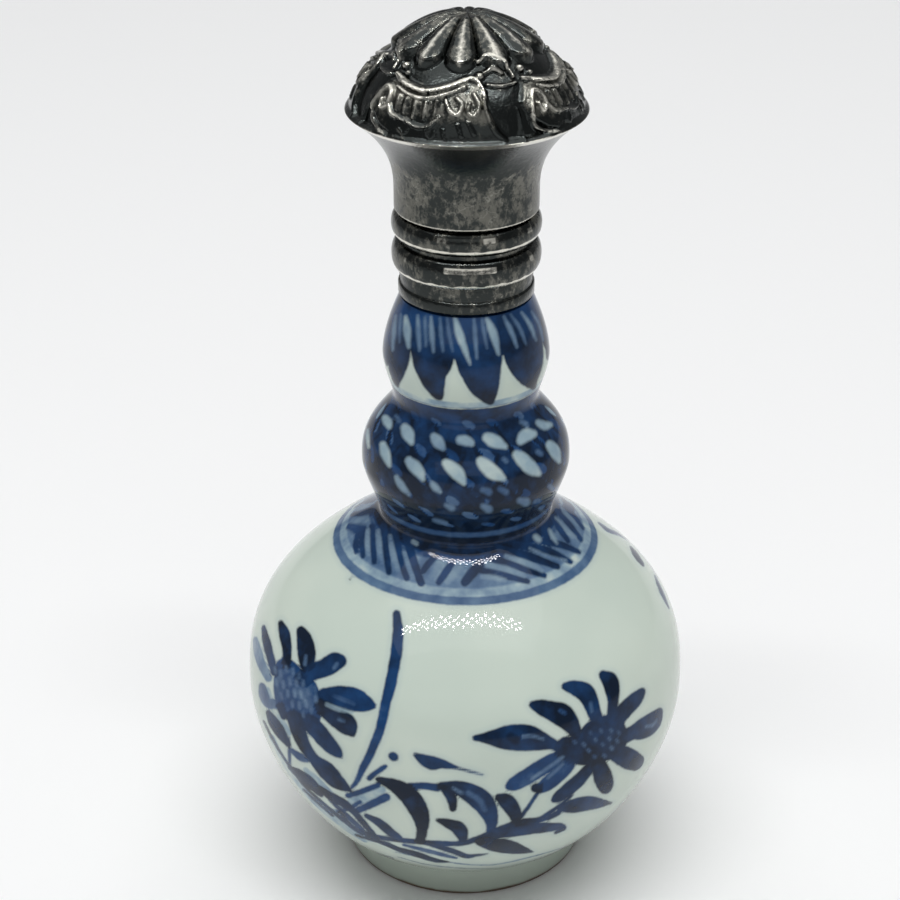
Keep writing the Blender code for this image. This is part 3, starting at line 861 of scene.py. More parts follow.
def porcelain_material():
    """Glossy pale glaze over cobalt brushwork, with a bare brownish rim on the foot and painted shade that
    greys and darkens the foot.
    """
    n = Nodes("painted_porcelain")
    unsteady = n.noise(1200.0, 2.0)
    pool = n.noise(420.0, 3.0)
    drift = n.noise(60.0, 2.0)

    def brushwork(layer, pooling):
        edge = n.varied(n.attribute(layer + "_edge"), unsteady, EDGE_WOBBLE)
        tone = n.varied(n.attribute(layer + "_tone"), pool, pooling)
        return edge, n.ramp(tone, TONES)

    colour = n.mix(n.step(drift, 0.35, 0.65), GLAZE, GLAZE_GREY)
    wash_edge, wash = brushwork("wash", 0.75)
    wash_share = n.step(wash_edge, -0.16, 0.12)
    colour = n.mix(wash_share, colour, wash)
    ink_edge, ink = brushwork("ink", 0.55)
    off_wash = n.step(wash_share, 0.0, 1.0, HALO_SHARE, 0.0)
    halo = n.math("MULTIPLY", n.step(ink_edge, -HALO_REACH, 0.0), off_wash)
    colour = n.mix(halo, colour, PALE_WASH)
    colour = n.mix(n.step(ink_edge, -0.15, 0.15), colour, ink)
    light_edge, light = brushwork("light", 0.4)
    colour = n.mix(n.step(light_edge, -0.24, 0.22), colour, light)
    height = n.axis("Z")
    # Painted shade: the glaze turns greyer and darker from 9.2 mm down to 6 mm, over the foot
    foot_grey_shade = n.math("MULTIPLY", n.step(height, FOOT_SHADE_TOP_M, FOOT_SHADE_FULL_M), FOOT_SHADE_SHARE)
    colour = n.mix(foot_grey_shade, colour, FOOT_GREY_SHADE)
    uneven_height = n.math("ADD", height, n.math("MULTIPLY", n.noise(300.0), 0.0005))
    bare = n.step(uneven_height, CLAY_TOP_M, CLAY_FULL_M)
    colour = n.mix(bare, colour, BARE_CLAY)
    n.link(colour, n.shader.inputs["Base Color"])
    n.link(n.step(bare, 0.0, 1.0, GLAZE_ROUGHNESS, CLAY_ROUGHNESS), n.shader.inputs["Roughness"])
    n.shader.inputs["IOR"].default_value = GLAZE_IOR
    n.bump(n.noise(140.0, 2.0), 0.00012, 0.15)
    return n.material


TARNISH = (0.034, 0.038, 0.037, 1.0)
FILM_GREY = (0.14, 0.138, 0.121, 1.0)
SCRATCH_GREY = (0.36, 0.36, 0.32, 1.0)
WORN_AND_HIGHLIT_SILVER = (0.66, 0.64, 0.57, 1.0)
TARNISH_ROUGHNESS = 0.17
FILM_ROUGHNESS = 0.34
VEIN_SHARE = 0.35


def silver_material(name):
    """Old silver: near-black tarnish, a patchy grey film, and bright metal where it is rubbed and where
    highlights and reflections are painted.
    """
    n = Nodes(name)
    stain = n.noise(1500.0, 6.0, 0.7, stretch=(1.0, 1.0, 0.7))
    cloud = n.noise(330.0, 4.0, 0.6)
    film = n.varied(n.varied(n.attribute("film"), cloud, 1.1), stain, 1.4)
    film = n.step(film, 0.35, 0.70)
    colour = n.mix(film, TARNISH, FILM_GREY)
    vein = n.math("ABSOLUTE", n.math("SUBTRACT", n.noise(420.0, 3.0, 0.55), 0.5))
    vein = n.math("MULTIPLY", n.step(vein, 0.012, 0.002), n.math("MULTIPLY", film, VEIN_SHARE))
    colour = n.mix(vein, colour, SCRATCH_GREY)
    # Bright metal for rubbed places and for the painted highlights and reflections kept in the same numbers
    rubbed_and_highlit = n.varied(n.attribute("wear_and_highlight"), stain, 0.7)
    colour = n.mix(n.step(rubbed_and_highlit, 0.35, 0.9), colour, WORN_AND_HIGHLIT_SILVER)
    n.link(colour, n.shader.inputs["Base Color"])
    n.shader.inputs["Metallic"].default_value = 1.0
    n.link(n.step(film, 0.0, 1.0, TARNISH_ROUGHNESS, FILM_ROUGHNESS), n.shader.inputs["Roughness"])
    n.bump(n.math("ADD", stain, n.noise(3000.0, 2.0)), 0.00005, 0.5)
    return n.material


# Pieces


def ring_stroke(height, half_width):
    """A level line all round the bottle."""
    return round_stroke([(turn, height, half_width) for turn in range(-180, 181, 4)])


def paint_belly(ink, wash, light):
    """The flower sprays of the belly; the back repeats the front's, half a turn on."""
    for strokes in (LEFT_FLOWER, LEFT_LEAVES, BLADE, CENTRE_LEAVES, GROUND_LINES, RIGHT_FLOWER, RIGHT_LEAVES):
        draw_seen(ink, strokes, BACK)
    # Painted shade on the lower left belly
    draw_seen(wash, LEFT_SHADE_WASHES)
    draw_seen(ink, EDGE_SPRIG)
    for tone, *points in SIDE_SPRIG.values():
        ink.draw(round_stroke(points), tone)
    draw_seen(ink, FOOT_LINES, (120.0, -120.0))
    draw_seen(ink, MARKS)
    draw_seen(light, LEFT_FLOWER_LIGHTS, BACK)
    draw_seen(light, RIGHT_FLOWER_LIGHTS, BACK)


# Rings of wash on the shoulder, from the outside in: height, half width and tone
SHOULDER_WASHES = (
    (38.76, 0.84, 0.23), (39.36, 0.5, 0.42), (39.6, 0.5, 0.42), (39.9, 0.5, 0.42), (40.2, 0.5, 0.42),
    (40.6, 0.5, 0.42), (40.9, 0.5, 0.42), (41.2, 0.4, 0.66), (41.6, 0.45, 0.94), (42.1, 0.45, 0.94),
    (42.6, 0.45, 0.94),
)
SHOULDER_RING = (38.22, 0.47)


def paint_shoulder(ink, wash, light):
    """The banded shoulder: an outer ring, a paler ring, then hatching over a wash up to the waist."""
    for height, half_width, tone in SHOULDER_WASHES:
        wash.draw(ring_stroke(height, half_width), tone)
    ink.draw(ring_stroke(*SHOULDER_RING), 0.52)
    draw_seen(ink, HATCHING, BACK, widen=1.3)
    draw_seen(light, HATCH_LIGHTS, BACK)


# The bulb's net of brush lines: azimuth from the line's middle, height and half width.
# The first line's azimuths are shares of its lean.
LEANING_LINE = ((-1.0, 54.8, 0.2), (0.0, 51.8, 0.3), (1.0, 49.4, 0.24))
CROSSING_LINE = ((9.0, 52.6, 0.16), (0.0, 49.6, 0.32), (-5.0, 46.6, 0.24))
FOOT_LINE = ((-10.0, 49.2, 0.24), (0.0, 47.2, 0.36), (9.0, 45.4, 0.26))
LEAN_RANGE = (9.0, 13.0)

# Rows of cells round the bulb: height, size and tone of the pale ones, height and size of the faint ones
PALE_ROWS = ((53.5, 1.0, 0.26), (51.15, 1.3, 0.22), (49.3, 0.8, 0.36), (47.3, 0.7, 0.42), (45.4, 0.45, 0.4))
FAINT_ROWS = ((55.3, 0.34), (52.7, 0.5), (50.3, 0.5), (48.3, 0.46), (46.4, 0.40), (44.9, 0.30))
CELLS_ROUND = 17
BULB_LOW = 43.1
BULB_HIGH = 57.0
FRONT_CELLS = 78.0


def cell_turn(rng, row, index, spread):
    """The azimuth of one cell in staggered rows, a little off its even place."""
    return (index + 0.5 * (row % 2)) * 360.0 / CELLS_ROUND + rng.uniform(-spread, spread)


def paint_bulb(ink, wash, light):
    """The middle bulb: a dark wash under crossing brush lines, left pale in rows of slanted cells, with a
    painted reflection as a pale ring at its foot.
    """
    for height in np.arange(BULB_LOW, BULB_HIGH, 0.5):
        share = (height - BULB_LOW) / (BULB_HIGH - BULB_LOW)
        wash.draw(ring_stroke(height, 0.62), 1.05 - 0.22 * share)
    rng = random.Random(4)
    for index in range(CELLS_ROUND):
        middle = (index + 0.5) * 360.0 / CELLS_ROUND
        lean = rng.uniform(*LEAN_RANGE)
        for line, scale in ((LEANING_LINE, lean), (CROSSING_LINE, 1.0), (FOOT_LINE, 1.0)):
            stroke = round_stroke([(middle + scale * off, height, width) for off, height, width in line])
            ink.draw(stroke, 1.0)
    for row, (height, width) in enumerate(FAINT_ROWS):
        for index in range(CELLS_ROUND):
            turn = cell_turn(rng, row, index, 3.0)
            size = width * rng.uniform(0.8, 1.2)
            top = (turn - 3.0, height + 0.6 * size, 0.7 * size)
            foot = (turn + 3.0, height - 0.6 * size, 0.7 * size)
            ink.draw(round_stroke([top, (turn, height, size), foot]), rng.uniform(0.56, 0.74))
    draw_seen(light, BULB_CELLS)
    # Painted reflection: a pale grey-blue ring where the glaze of the concave waist mirrors the room
    light.draw(ring_stroke(43.5, 0.36), 0.62)
    for row, (height, size, tone) in enumerate(PALE_ROWS):
        for index in range(CELLS_ROUND):
            turn = cell_turn(rng, row, index, 2.0)
            width = size * rng.uniform(0.36, 0.54)
            length = size * rng.uniform(0.5, 0.75)
            lean = 3.5 if row % 2 else 2.0
            if FRONT_CELLS < turn < 360.0 - FRONT_CELLS:
                top = (turn - lean, height + length, 0.45 * width)
                foot = (turn + lean, height - length, 0.45 * width)
                stroke = round_stroke([top, (turn, height, width), foot])
                light.draw(stroke, tone + rng.uniform(-0.05, 0.08))


CROWN_WASH_LOW = 63.6
SIDE_LAPPETS = (110.0, -72.0)


def paint_crown(ink, wash, light):
    """The crown: hanging lappets with dark tips under a wash, and pale streaks between their strokes."""
    for height in np.arange(CROWN_WASH_LOW, SEAT_Z + 0.6, 0.7):
        wash.draw(ring_stroke(height, 0.75), 0.86)
    wash.draw(ring_stroke(57.75, 0.34), 0.17)
    draw_seen(ink, LAPPETS, BACK)
    draw_seen(ink, (LAPPETS["middle_left"],), SIDE_LAPPETS)
    draw_seen(light, LAPPET_LIGHTS, BACK)


FOOT_CURVE = ((13.75, 1.8), (14.15, 3.3))


def bottle_inside():
    """The hollow's outline from the neck down: the outside, moved in by the wall."""
    outline = evenly(GOURD, INSIDE_ROW)
    heading = np.gradient(outline, axis=0)
    heading /= np.linalg.norm(heading, axis=1)[:, None]
    hollow = np.column_stack((outline[:, 0] - WALL * heading[:, 1], outline[:, 1] + WALL * heading[:, 0]))
    hollow[:, 0] = np.maximum(hollow[:, 0], NECK_RADIUS - WALL)
    lowest = FOOT_RECESS + FLOOR_THICKNESS + WALL
    hollow = hollow[(hollow[:, 1] > lowest) & (hollow[:, 1] < SEAT_Z - 0.5)]
    return hollow[np.argsort(-hollow[:, 1])]


def build_porcelain():
    """The hollow bottle, with its painting kept as numbers on its vertices."""
    belly_turns = front_dense(BELLY_FRONT_STEP, BELLY_BACK_STEP)
    bulb_turns = front_dense(BULB_FRONT_STEP, BULB_BACK_STEP)
    inside_turns = all_round(INSIDE_COLUMNS)
    ring_inside = FOOT_RADIUS - FOOT_RING_WIDTH
    under = [(ring_inside - FOOT_EDGE, FOOT_RECESS), (ring_inside, FOOT_EDGE), (ring_inside + FOOT_EDGE, 0.0)]
    rim = [(FOOT_RADIUS - FOOT_EDGE, 0.0), (FOOT_RADIUS - 0.1, 0.08), (FOOT_RADIUS, FOOT_EDGE)]
    side = [(FOOT_RADIUS, FOOT_EDGE), *FOOT_CURVE, (FOOT_TOP_RADIUS, FOOT_HEIGHT - FOOT_EDGE)]
    rings = turned([(0.0, FOOT_RECESS)], inside_turns)
    rings += turned(under, all_round(FOOT_RING_COLUMNS))
    rings += turned(rim, all_round(FOOT_COLUMNS))
    rings += turned(evenly(side, FOOT_ROW)[1:], all_round(FOOT_COLUMNS))
    for index, section in enumerate(gourd_sections()):
        row, turns = (BELLY_ROW, belly_turns) if index < 2 else (BULB_ROW, bulb_turns)
        rings += turned(evenly(section, row)[:-1], turns)
    neck_top = SEAT_Z + NECK_HEIGHT
    bore = NECK_RADIUS - WALL
    floor_z = FOOT_RECESS + FLOOR_THICKNESS
    hollow = bottle_inside()
    rings += turned([(CROWN_TOP_RADIUS, SEAT_Z)], bulb_turns)
    rings += turned([(NECK_RADIUS, SEAT_Z), (NECK_RADIUS, neck_top)], inside_turns)
    rings += turned([(bore, neck_top), (bore, SEAT_Z)], inside_turns)
    rings += turned(hollow, inside_turns)
    rings += turned([(hollow[-1][0] - WALL, floor_z), (0.0, floor_z)], inside_turns)
    points, faces = lathe(rings)
    piece = make_piece("painted_bottle", points, faces, "porcelain_bottle", porcelain_material())
    ink, wash, light = Layer(points), Layer(points), Layer(points)
    for paint in (paint_belly, paint_shoulder, paint_bulb, paint_crown):
        paint(ink, wash, light)
    for name, layer in (("ink", ink), ("wash", wash), ("light", light)):
        store(piece, name + "_edge", layer.edge)
        store(piece, name + "_tone", layer.tone)


def soft_step(value, low, high):
    """0 below the lower limit, 1 above the upper one, and a smooth rise between them."""
    share = np.clip((value - low) / (high - low), 0.0, 1.0)
    return share * share * (3.0 - 2.0 * share)


def ring_profile(root, low, high):
    """A rounded ring's outline, from its lower root to its upper root."""
    angle = np.linspace(math.pi, 0.0, RING_ROWS)
    height = 0.5 * (high + low) + 0.5 * (high - low) * np.cos(angle)
    return np.column_stack((root + RING_BULGE * np.sin(angle) ** 0.8, height))


# Wear and painted light of the upper and the lower ring. A tilt is -1 at a ring's foot and 1 at its top.
# Lip, a painted reflection of the floor: tilt and half width. Bar, rubbed metal that also carries a painted
# highlight of the front light: ring, azimuths of its ends, and strength.
RING_LIP_REFLECTIONS = ((-0.52, 0.16), (-0.80, 0.26))
BAR_TILT = (0.30, 0.62)
BAR_MIDDLE = 0.62
RING_BARS = (
    (1, -18.0, 23.0, 1.0),
    (0, -24.0, -15.0, 0.55),
    (0, 12.0, 22.0, 0.9),
    (0, 52.0, 60.0, 0.6),
    (1, -56.0, -52.0, 0.5),
    (1, 56.0, 62.0, 0.6),
)


def collar_wear_and_highlights(points):
    """Painted reflections of the floor along the lips under both rings, and rubbed bars on their upper faces
    that also carry painted highlights.
    """
    azimuth = np.degrees(np.arctan2(points[:, 0], -points[:, 1]))
    wear_and_highlight = np.zeros(len(points))
    bar_low, bar_high = BAR_TILT
    rings = ((UPPER_RING_Z, SHOULDER_Z), (LOWER_RING_Z, GROOVE_Z))
    for index, (low, high) in enumerate(rings):
        tilt = (points[:, 2] - 0.5 * (low + high)) / (0.5 * (high - low))
        within = np.abs(tilt) < 1.0
        # Painted reflection of the floor: a bright line along the lip under each ring
        lip_tilt, lip_width = RING_LIP_REFLECTIONS[index]
        ripple = np.sin(np.radians(9.0 * azimuth)) * np.sin(np.radians(23.0 * azimuth))
        uneven_width = lip_width * (1.0 + 0.35 * ripple)
        lip_reflection = 0.95 * (1.0 - soft_step(np.abs(tilt - lip_tilt), 0.5 * uneven_width, uneven_width))
        wear_and_highlight = np.maximum(wear_and_highlight, within * lip_reflection)
        # Rubbed bars where the front light's highlight falls: wear, with the highlight partly painted in
        for ring, start, stop, strength in RING_BARS:
            middle, half = 0.5 * (start + stop), 0.5 * (stop - start)
            along = 1.0 - soft_step(np.abs(azimuth - middle), half - 1.0, half + 1.0)
            over = soft_step(tilt, bar_low - 0.1, bar_low) * (1.0 - soft_step(tilt, bar_high, bar_high + 0.1))
            rim = soft_step(tilt, 0.5 * (bar_low + bar_high), bar_high)
            end = soft_step(np.abs(azimuth - middle), half - 5.0, half - 2.0)
            uneven = BAR_MIDDLE + (1.0 - BAR_MIDDLE) * np.maximum(rim, end)
            wear_and_highlight = np.maximum(wear_and_highlight, (ring == index) * strength * along * over * uneven)
    return wear_and_highlight


COLLAR_FILM = 0.44


def build_collar():
    """The turned sleeve: band, throat, two rounded rings and the spigot that carries the cap."""
    throat = SLEEVE_RADIUS + COLLAR_WALL
    band = SLEEVE_RADIUS + BAND_WALL
    outline = [(SLEEVE_RADIUS, COLLAR_FOOT_Z), (band - 0.08, COLLAR_FOOT_Z), (band, COLLAR_FOOT_Z + 0.08)]
    outline += [(band, BAND_TOP_Z - 0.15), (band - 0.1, BAND_TOP_Z), (throat + 0.05, BAND_TOP_Z + 0.05)]
    outline += [(throat, BAND_TOP_Z + 0.3), (throat + 0.12, BAND_TOP_Z + 0.75), (throat, BAND_TOP_Z + 1.2)]
    outline += [*ring_profile(throat, LOWER_RING_Z, GROOVE_Z)]
    outline += [*ring_profile(throat, UPPER_RING_Z, SHOULDER_Z)]
    outline += [(SPIGOT_RADIUS, SHOULDER_Z), (SPIGOT_RADIUS, SHOULDER_Z + SPIGOT_HEIGHT)]
    outline += [(SLEEVE_RADIUS, SHOULDER_Z + SPIGOT_HEIGHT)]
    points, faces = lathe(turned(outline, all_round(COLLAR_COLUMNS)))
    silver = silver_material("turned_silver")
    piece = make_piece("turned_collar", points, faces, "silver_collar", silver)
    store(piece, "wear_and_highlight", collar_wear_and_highlights(points))
    store(piece, "film", np.full(len(points), COLLAR_FILM))


DOME_OUTLINE = swelling((DOME_RADIUS, DOME_Z), (0.0, DOME_Z + DOME_HEIGHT), DOME_FORM, 400)

# The dome's lobes, and the gaps between its panels. A taper or lean gives shares of the dome's height,
# and then the share of the gap's width, or the degrees, at each.
LOBES = 12
LOBE_DEPTH = 0.95
LOBE_PHASE = -6.0
PANELS = 4
GAP_MIDDLE = 19.0
GAP_HALF_WIDTH = 9.5
GAP_TAPER = ((0.0, 0.12, 0.36, 0.6), (0.25, 0.62, 1.0, 0.95))
GAP_LEAN = ((0.0, 0.36), (4.0, 0.0))

# Chasing of one panel: height of the ridge, then azimuth, height and half width along it.
PANEL_RIDGES = {
    "upper_scroll": (0.4, (-52, 91.6, 0.24), (-46, 91.4, 0.3), (-36, 91.05, 0.3), (-25.7, 90.9, 0.3),
        (-12, 91.4, 0.28), (0, 92.0, 0.3), (6, 91.8, 0.26), (9.4, 90.9, 0.22),
        (9.4, 89.6, 0.18)),
    "inner_scroll": (0.26, (-44, 90.7, 0.14), (-34, 90.3, 0.17), (-24, 90.2, 0.18), (-12, 90.7, 0.18),
        (-2, 91.3, 0.17)),
    "left_edge": (0.3, (-53.5, 89.9, 0.2), (-56, 88.6, 0.24), (-54.5, 87.4, 0.24), (-49, 86.8, 0.2),
        (-42, 86.5, 0.14)),
    "volute": (0.32, (-53.5, 89.9, 0.2), (-51, 90.5, 0.22), (-46.5, 90.2, 0.22), (-45.6, 89.2, 0.2),
        (-49, 88.7, 0.18), (-50.4, 89.4, 0.16)),
    "scalloped_edge": (0.26, (-44.4, 89.1, 0.16), (-41, 88.4, 0.18), (-36, 88.2, 0.18), (-31, 88.1, 0.16),
        (-26, 87.8, 0.18), (-20, 87.9, 0.16), (-15, 88.7, 0.14)),
    "flute_1": (0.2, (-40, 90.0, 0.24), (-39, 88.9, 0.16)),
    "flute_2": (0.2, (-34.6, 89.9, 0.24), (-34, 88.8, 0.16)),
    "flute_3": (0.2, (-28.6, 89.8, 0.24), (-28.4, 88.5, 0.16)),
    "flute_4": (0.2, (-22.6, 89.9, 0.24), (-22.4, 88.5, 0.16)),
    "flute_5": (0.18, (-17, 90.2, 0.22), (-17, 89.0, 0.14)),
    "right_curl": (0.26, (-12, 90.2, 0.16), (-9, 89.3, 0.2), (-5, 89.1, 0.2), (-3, 89.9, 0.2),
        (-6, 90.4, 0.16)),
    "right_spiral": (0.24, (3.6, 90.7, 0.18), (6, 89.8, 0.2), (3.4, 89.0, 0.18), (0, 89.3, 0.16),
        (1, 90.0, 0.14)),
    "right_edge": (0.16, (9.4, 89.6, 0.18), (11, 88.4, 0.18), (14, 87.4, 0.16), (18, 86.7, 0.14)),
    "mark_1": (0.14, (-35, 87.3, 0.12), (-32, 86.9, 0.12), (-30, 87.4, 0.12)),
    "mark_2": (0.14, (-20, 87.5, 0.12), (-18, 86.9, 0.12), (-16, 87.4, 0.12)),
    "mark_3": (0.14, (-12, 87.7, 0.12), (-10.6, 86.9, 0.12)),
    "mark_4": (0.14, (-5, 88.2, 0.12), (-3, 87.2, 0.12)),
    "mark_5": (0.14, (0, 88.4, 0.12), (3, 87.4, 0.12)),
    "bead_1": (0.42, (-50, 92.4, 0.36), (-49.4, 92.4, 0.36)),
    "bead_2": (0.36, (-44, 91.9, 0.28), (-43.4, 91.9, 0.28)),
    "bead_3": (0.4, (8, 92.2, 0.34), (8.6, 92.2, 0.34)),
    "shell_top": (0.36, (8, 93.2, 0.18), (14, 93.5, 0.22), (22, 93.4, 0.22), (29, 92.8, 0.22),
        (31.5, 91.9, 0.2)),
    "shell_middle": (0.32, (12, 92.4, 0.2), (18, 92.65, 0.24), (24.6, 92.3, 0.2)),
    "shell_foot": (0.28, (12, 91.5, 0.16), (19, 91.3, 0.2), (27, 91.3, 0.2), (32, 91.4, 0.16)),
}

# Millimetres to a degree round the dome, and edges of a panel: azimuths from its left, shares of the height
DEGREE_LENGTH = 0.17
LOWER_CORNER = ((0.0, 6.0, 14.0, 26.0, 64.0, 90.0), (0.42, 0.20, 0.08, 0.0, 0.0, 0.0))
UPPER_EDGE = (
    (0.0, 8.0, 20.0, 36.0, 50.0, 62.0, 68.0, 71.0, 90.0),
    (0.30, 0.50, 0.50, 0.46, 0.51, 0.57, 0.52, 0.40, 0.30),
)


def ridge_relief(points):
    """How high the chased ridges of all panels stand at each point of the dome."""
    relief = np.zeros(len(points))
    for height, *row in PANEL_RIDGES.values():
        path = smooth_path(np.array(row) * (DEGREE_LENGTH, 1.0, 1.0), 0.1)
        azimuth = path[:, 0] / DEGREE_LENGTH
        path_radius = np.interp(path[:, 1], DOME_OUTLINE[:, 1], DOME_OUTLINE[:, 0])
        for panel_index in range(PANELS):
            spots = place(azimuth + 360.0 / PANELS * panel_index, path_radius, path[:, 1])
            low, high = spots.min(axis=0) - 1.0, spots.max(axis=0) + 1.0
            near = np.nonzero(((points > low) & (points < high)).all(axis=1))[0]
            best = np.zeros(len(near))
            for spot, width in zip(spots, path[:, 2]):
                gap = np.linalg.norm(points[near] - spot, axis=1) / (1.6 * width)
                best = np.maximum(best, height * (1.0 - np.minimum(1.0, gap) ** 2))
            relief[near] = np.maximum(relief[near], best)
    return relief


def chasing(points):
    """How deep the dome is cut at each point, its wear and painted highlight there, and how much film it has.
    """
    radius = np.hypot(points[:, 0], points[:, 1])
    azimuth = np.degrees(np.arctan2(points[:, 0], -points[:, 1]))
    share = (points[:, 2] - DOME_Z) / DOME_HEIGHT
    turn = 360.0 / PANELS
    gap_middle = GAP_MIDDLE + np.interp(share, *GAP_LEAN)
    from_gap = np.abs((azimuth - gap_middle + 0.5 * turn) % turn - 0.5 * turn)
    across = (azimuth - GAP_MIDDLE - GAP_HALF_WIDTH) % turn
    half_gap = np.interp(share, *GAP_TAPER) * GAP_HALF_WIDTH
    beside = soft_step(from_gap, half_gap - 1.5, half_gap + 1.5)
    edge = np.interp(across, *UPPER_EDGE)
    corner = np.interp(across, *LOWER_CORNER)
    below = 1.0 - soft_step(share, edge - 0.02, edge + 0.03)
    panel = beside * below * soft_step(share, corner - 0.03, corner + 0.02)
    half_lobe = 180.0 / LOBES
    off_lobe = np.abs((azimuth - LOBE_PHASE + half_lobe) % (2.0 * half_lobe) - half_lobe) / half_lobe
    lobe_zone = soft_step(share, 0.62 + 0.09 * off_lobe ** 2, 0.70 + 0.09 * off_lobe ** 2)
    pole = soft_step(share, 0.97, 1.0)
    valley = 1.0 - np.sqrt(np.maximum(0.0, 1.0 - 0.96 * off_lobe ** 2))
    lobe_depth = LOBE_DEPTH * np.minimum(1.0, radius / 5.5) * valley + 0.3 * pole
    field = 0.85 * (1.0 - panel) + 0.42 * panel
    foot = soft_step(share, 0.0, 0.05)
    depth = foot * (field * (1.0 - lobe_zone) + lobe_depth * lobe_zone)
    relief = ridge_relief(points)
    # Painted highlight: a thin bright line along the foot of the dome at the brim
    brim = 1.0 - soft_step(share, 0.002, 0.008)
    upper_panel = panel * soft_step(share, 0.14, 0.26)
    # The lobes' crests are rubbed and also carry painted highlights
    lobe_wear_and_highlight = lobe_zone * (0.66 - 0.95 * off_lobe) * (1.0 - pole)
    wear_and_highlight = np.clip(np.maximum(np.minimum(relief * 2.0, 0.72), lobe_wear_and_highlight) + 0.16 * upper_panel, 0.0, 0.85)
    wear_and_highlight = np.maximum(wear_and_highlight * (radius > 0.5), 0.9 * brim)
    film = 0.22 + 0.38 * upper_panel + 0.20 * lobe_zone
    return np.maximum(0.0, depth - relief * 1.25), wear_and_highlight, film


def flare(share):
    """Radius beyond the cup's and height above its top, at shares of the flare's height."""
    return np.column_stack((FLARE_REACH * share ** FLARE_FORM, FLARE_HEIGHT * share))


def build_cap():
    """The lift-off cap: a flared cup under a chased dome, hollow inside."""
    inside_turns = all_round(CAP_INSIDE_COLUMNS)
    dome = evenly(DOME_OUTLINE[::-1], DOME_ROW)
    dome[0, 0] = 0.0
    rings = turned(dome, all_round(DOME_COLUMNS))
    dome_count = 1 + (len(rings) - 1) * DOME_COLUMNS
    cup = [*evenly((CUP_RADIUS, CUP_TOP_Z) + flare(np.linspace(1.0, 0.0, 40)), CUP_ROW)]
    heights = (CUP_TOP_Z - 0.7, CUP_TOP_Z - 1.4, CAP_FOOT_Z + 0.3, CAP_FOOT_Z + 0.15)
    cup += [(CUP_RADIUS, height) for height in heights] + [(CUP_RADIUS - 0.1, CAP_FOOT_Z)]
    rings += turned(cup, all_round(CUP_COLUMNS))
    roof_z = CUP_TOP_Z + CUP_WALL
    rings += turned([(CUP_INSIDE, CAP_FOOT_Z), (CUP_INSIDE, roof_z)], inside_turns)
    rings += turned((CUP_INSIDE, roof_z) + flare(np.arange(1, 7) / 7.0), inside_turns)
    hollow_top = (0.0, DOME_Z + DOME_HEIGHT - DOME_WALL)
    hollow = swelling((DOME_RADIUS - DOME_WALL, DOME_Z), hollow_top, DOME_FORM, 9)
    rings += turned([*hollow[:-1], hollow_top], inside_turns)
    points, faces = lathe(rings)
    surface = points[:dome_count]
    depth, wear_and_highlight, film = chasing(surface)
    from_middle = surface - (0.0, 0.0, DOME_Z)
    surface -= (depth / np.linalg.norm(from_middle, axis=1))[:, None] * from_middle
    silver = silver_material("chased_silver")
    piece = make_piece("chased_cap", points, faces, "silver_cap", silver)
    azimuth = np.degrees(np.arctan2(points[:, 0], -points[:, 1]))
    below_brim = BRIM_Z - points[:, 2]
    # Painted highlight: a bright line just under the brim; painted reflection of the floor: the cup's lower
    # edge
    cup_highlight = 0.9 * (1.0 - soft_step(below_brim, 0.12, 0.22)) + 0.75 * (points[:, 2] < CAP_FOOT_Z + 0.2)
    cup_film = 0.08 + 0.42 * soft_step(below_brim, 1.6, 5.0) + 0.10 * soft_step(np.abs(azimuth), 35.0, 70.0)
    store(piece, "wear_and_highlight", np.r_[wear_and_highlight, cup_highlight[dome_count:]])
    store(piece, "film", np.r_[film, cup_film[dome_count:]])


# Stage


def plain_material(name, colour, roughness):
    material = bpy.data.materials.new(name)
    material.use_nodes = True
    shader = material.node_tree.nodes["Principled BSDF"]
    shader.inputs["Base Color"].default_value = colour
    shader.inputs["Roughness"].default_value = roughness
    return material


FLOOR_WIDTH = 20.0
FLOOR_COLOUR = (0.90, 0.90, 0.90, 1.0)


def build_floor():
    """A pale floor, wide enough to fill the view."""
    bpy.ops.mesh.primitive_plane_add(size=FLOOR_WIDTH)
    floor = bpy.context.active_object
    floor.name = "floor"
    floor.data.materials.append(plain_material("pale_floor", FLOOR_COLOUR, 0.9))


# Lights: places and sizes in metres, powers in watts
LIGHT_TARGET = (0.0, 0.0, 0.04)
STRIP_MIDDLE = (-0.019, -0.174, 0.55)
STRIP_LENGTH = 0.272
STRIP_DEPTH = 0.036
STRIP_BEND = 0.028
STRIP_POWER = 0.36
STRIP_FILL_POWER = 1.0
DOT_COLUMNS = 7.0
DOT_ROWS = 2.0
DOT_SIZE = 0.45
DOT_POWER = 9.0
FRONT_PLACE = (0.0, -1.0, 0.57)
FRONT_SIZE = (1.4, 0.5)
FRONT_POWER = 1.3
TOP_PLACE = (0.0, 0.3, 2.2)
TOP_SIZE = (3.0, 3.0)
TOP_POWER = 42.0
ROOM_COLOUR = (0.96, 0.98, 1.0, 1.0)
ROOM_STRENGTH = 0.24


def area_light(name, place_m, size, power):
    """A rectangular light that shines at the bottle."""
    data = bpy.data.lights.new(name, "AREA")
    data.shape = "RECTANGLE"
    data.size, data.size_y = size
    data.energy = power
    light = bpy.data.objects.new(name, data)
    light.location = place_m
    light.rotation_euler = (Vector(LIGHT_TARGET) - light.location).to_track_quat("-Z", "Y").to_euler()
    bpy.context.scene.collection.objects.link(light)
    return light


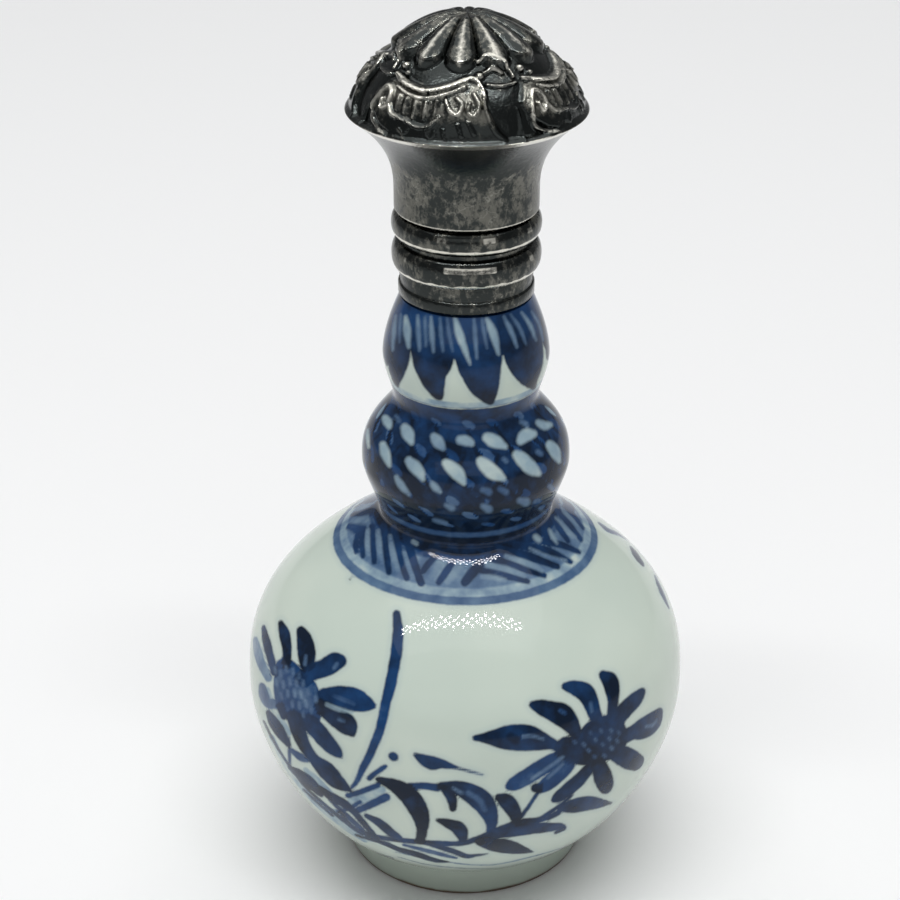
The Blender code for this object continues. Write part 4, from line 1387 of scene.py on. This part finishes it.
def dot_pattern(light):
    """Splits an area light into staggered rows of small lamps."""
    light.use_nodes = True
    tree = light.node_tree
    split = tree.nodes.new("ShaderNodeSeparateXYZ")
    tree.links.new(tree.nodes.new("ShaderNodeNewGeometry").outputs["Parametric"], split.inputs[0])

    def math_node(operation, first, second):
        node = tree.nodes.new("ShaderNodeMath")
        node.operation = operation
        for source, socket in zip((first, second), node.inputs):
            if isinstance(source, float):
                socket.default_value = source
            else:
                tree.links.new(source, socket)
        return node.outputs[0]

    across = math_node("MULTIPLY", split.outputs["X"], 2.0 * math.pi * DOT_COLUMNS)
    down = math_node("MULTIPLY", split.outputs["Y"], 2.0 * math.pi * DOT_ROWS)
    waves = math_node("MULTIPLY", math_node("SINE", across, 0.0), math_node("SINE", down, 0.0))
    lit = math_node("GREATER_THAN", waves, DOT_SIZE)
    power = math_node("MULTIPLY", lit, DOT_POWER)
    tree.links.new(power, tree.nodes["Emission"].inputs["Strength"])


def build_lights():
    """A plain pale room, two dotted strips that the glaze mirrors, and soft lights."""
    world = bpy.data.worlds.new("studio")
    bpy.context.scene.world = world
    world.use_nodes = True
    background = world.node_tree.nodes["Background"]
    background.inputs["Color"].default_value = ROOM_COLOUR
    background.inputs["Strength"].default_value = ROOM_STRENGTH
    middle_x, front_y, strip_z = STRIP_MIDDLE
    strip_y = front_y + 0.5 * STRIP_BEND
    for side, name in ((-1.0, "left_strip"), (1.0, "right_strip")):
        middle = (middle_x + 0.5 * side * STRIP_LENGTH, strip_y, strip_z)
        strip = area_light(name, middle, (STRIP_LENGTH, STRIP_DEPTH), STRIP_POWER)
        strip.rotation_euler = (0.0, 0.0, side * math.atan(STRIP_BEND / STRIP_LENGTH))
        dot_pattern(strip.data)
        strip.visible_diffuse = False
    fill_size = (2.0 * STRIP_LENGTH, STRIP_DEPTH)
    fill = area_light("strip_fill", (middle_x, strip_y, strip_z), fill_size, STRIP_FILL_POWER)
    fill.visible_glossy = False
    area_light("front_soft", FRONT_PLACE, FRONT_SIZE, FRONT_POWER)
    area_light("top_soft", TOP_PLACE, TOP_SIZE, TOP_POWER)


def build_camera():
    """The photograph's view."""
    data = bpy.data.cameras.new("camera")
    data.lens = FOCAL_LENGTH
    data.sensor_width = SENSOR_WIDTH
    data.clip_start = 0.01
    camera = bpy.data.objects.new("camera", data)
    eye = camera_frame()[0]
    camera.location = Vector(eye * MM)
    camera.rotation_euler = (0.5 * math.pi - CAMERA_PITCH, 0.0, 0.0)
    bpy.context.scene.collection.objects.link(camera)
    bpy.context.scene.camera = camera


def main():
    bpy.context.scene.view_settings.view_transform = "Standard"
    build_camera()
    build_lights()
    build_floor()
    build_porcelain()
    build_collar()
    build_cap()


main()
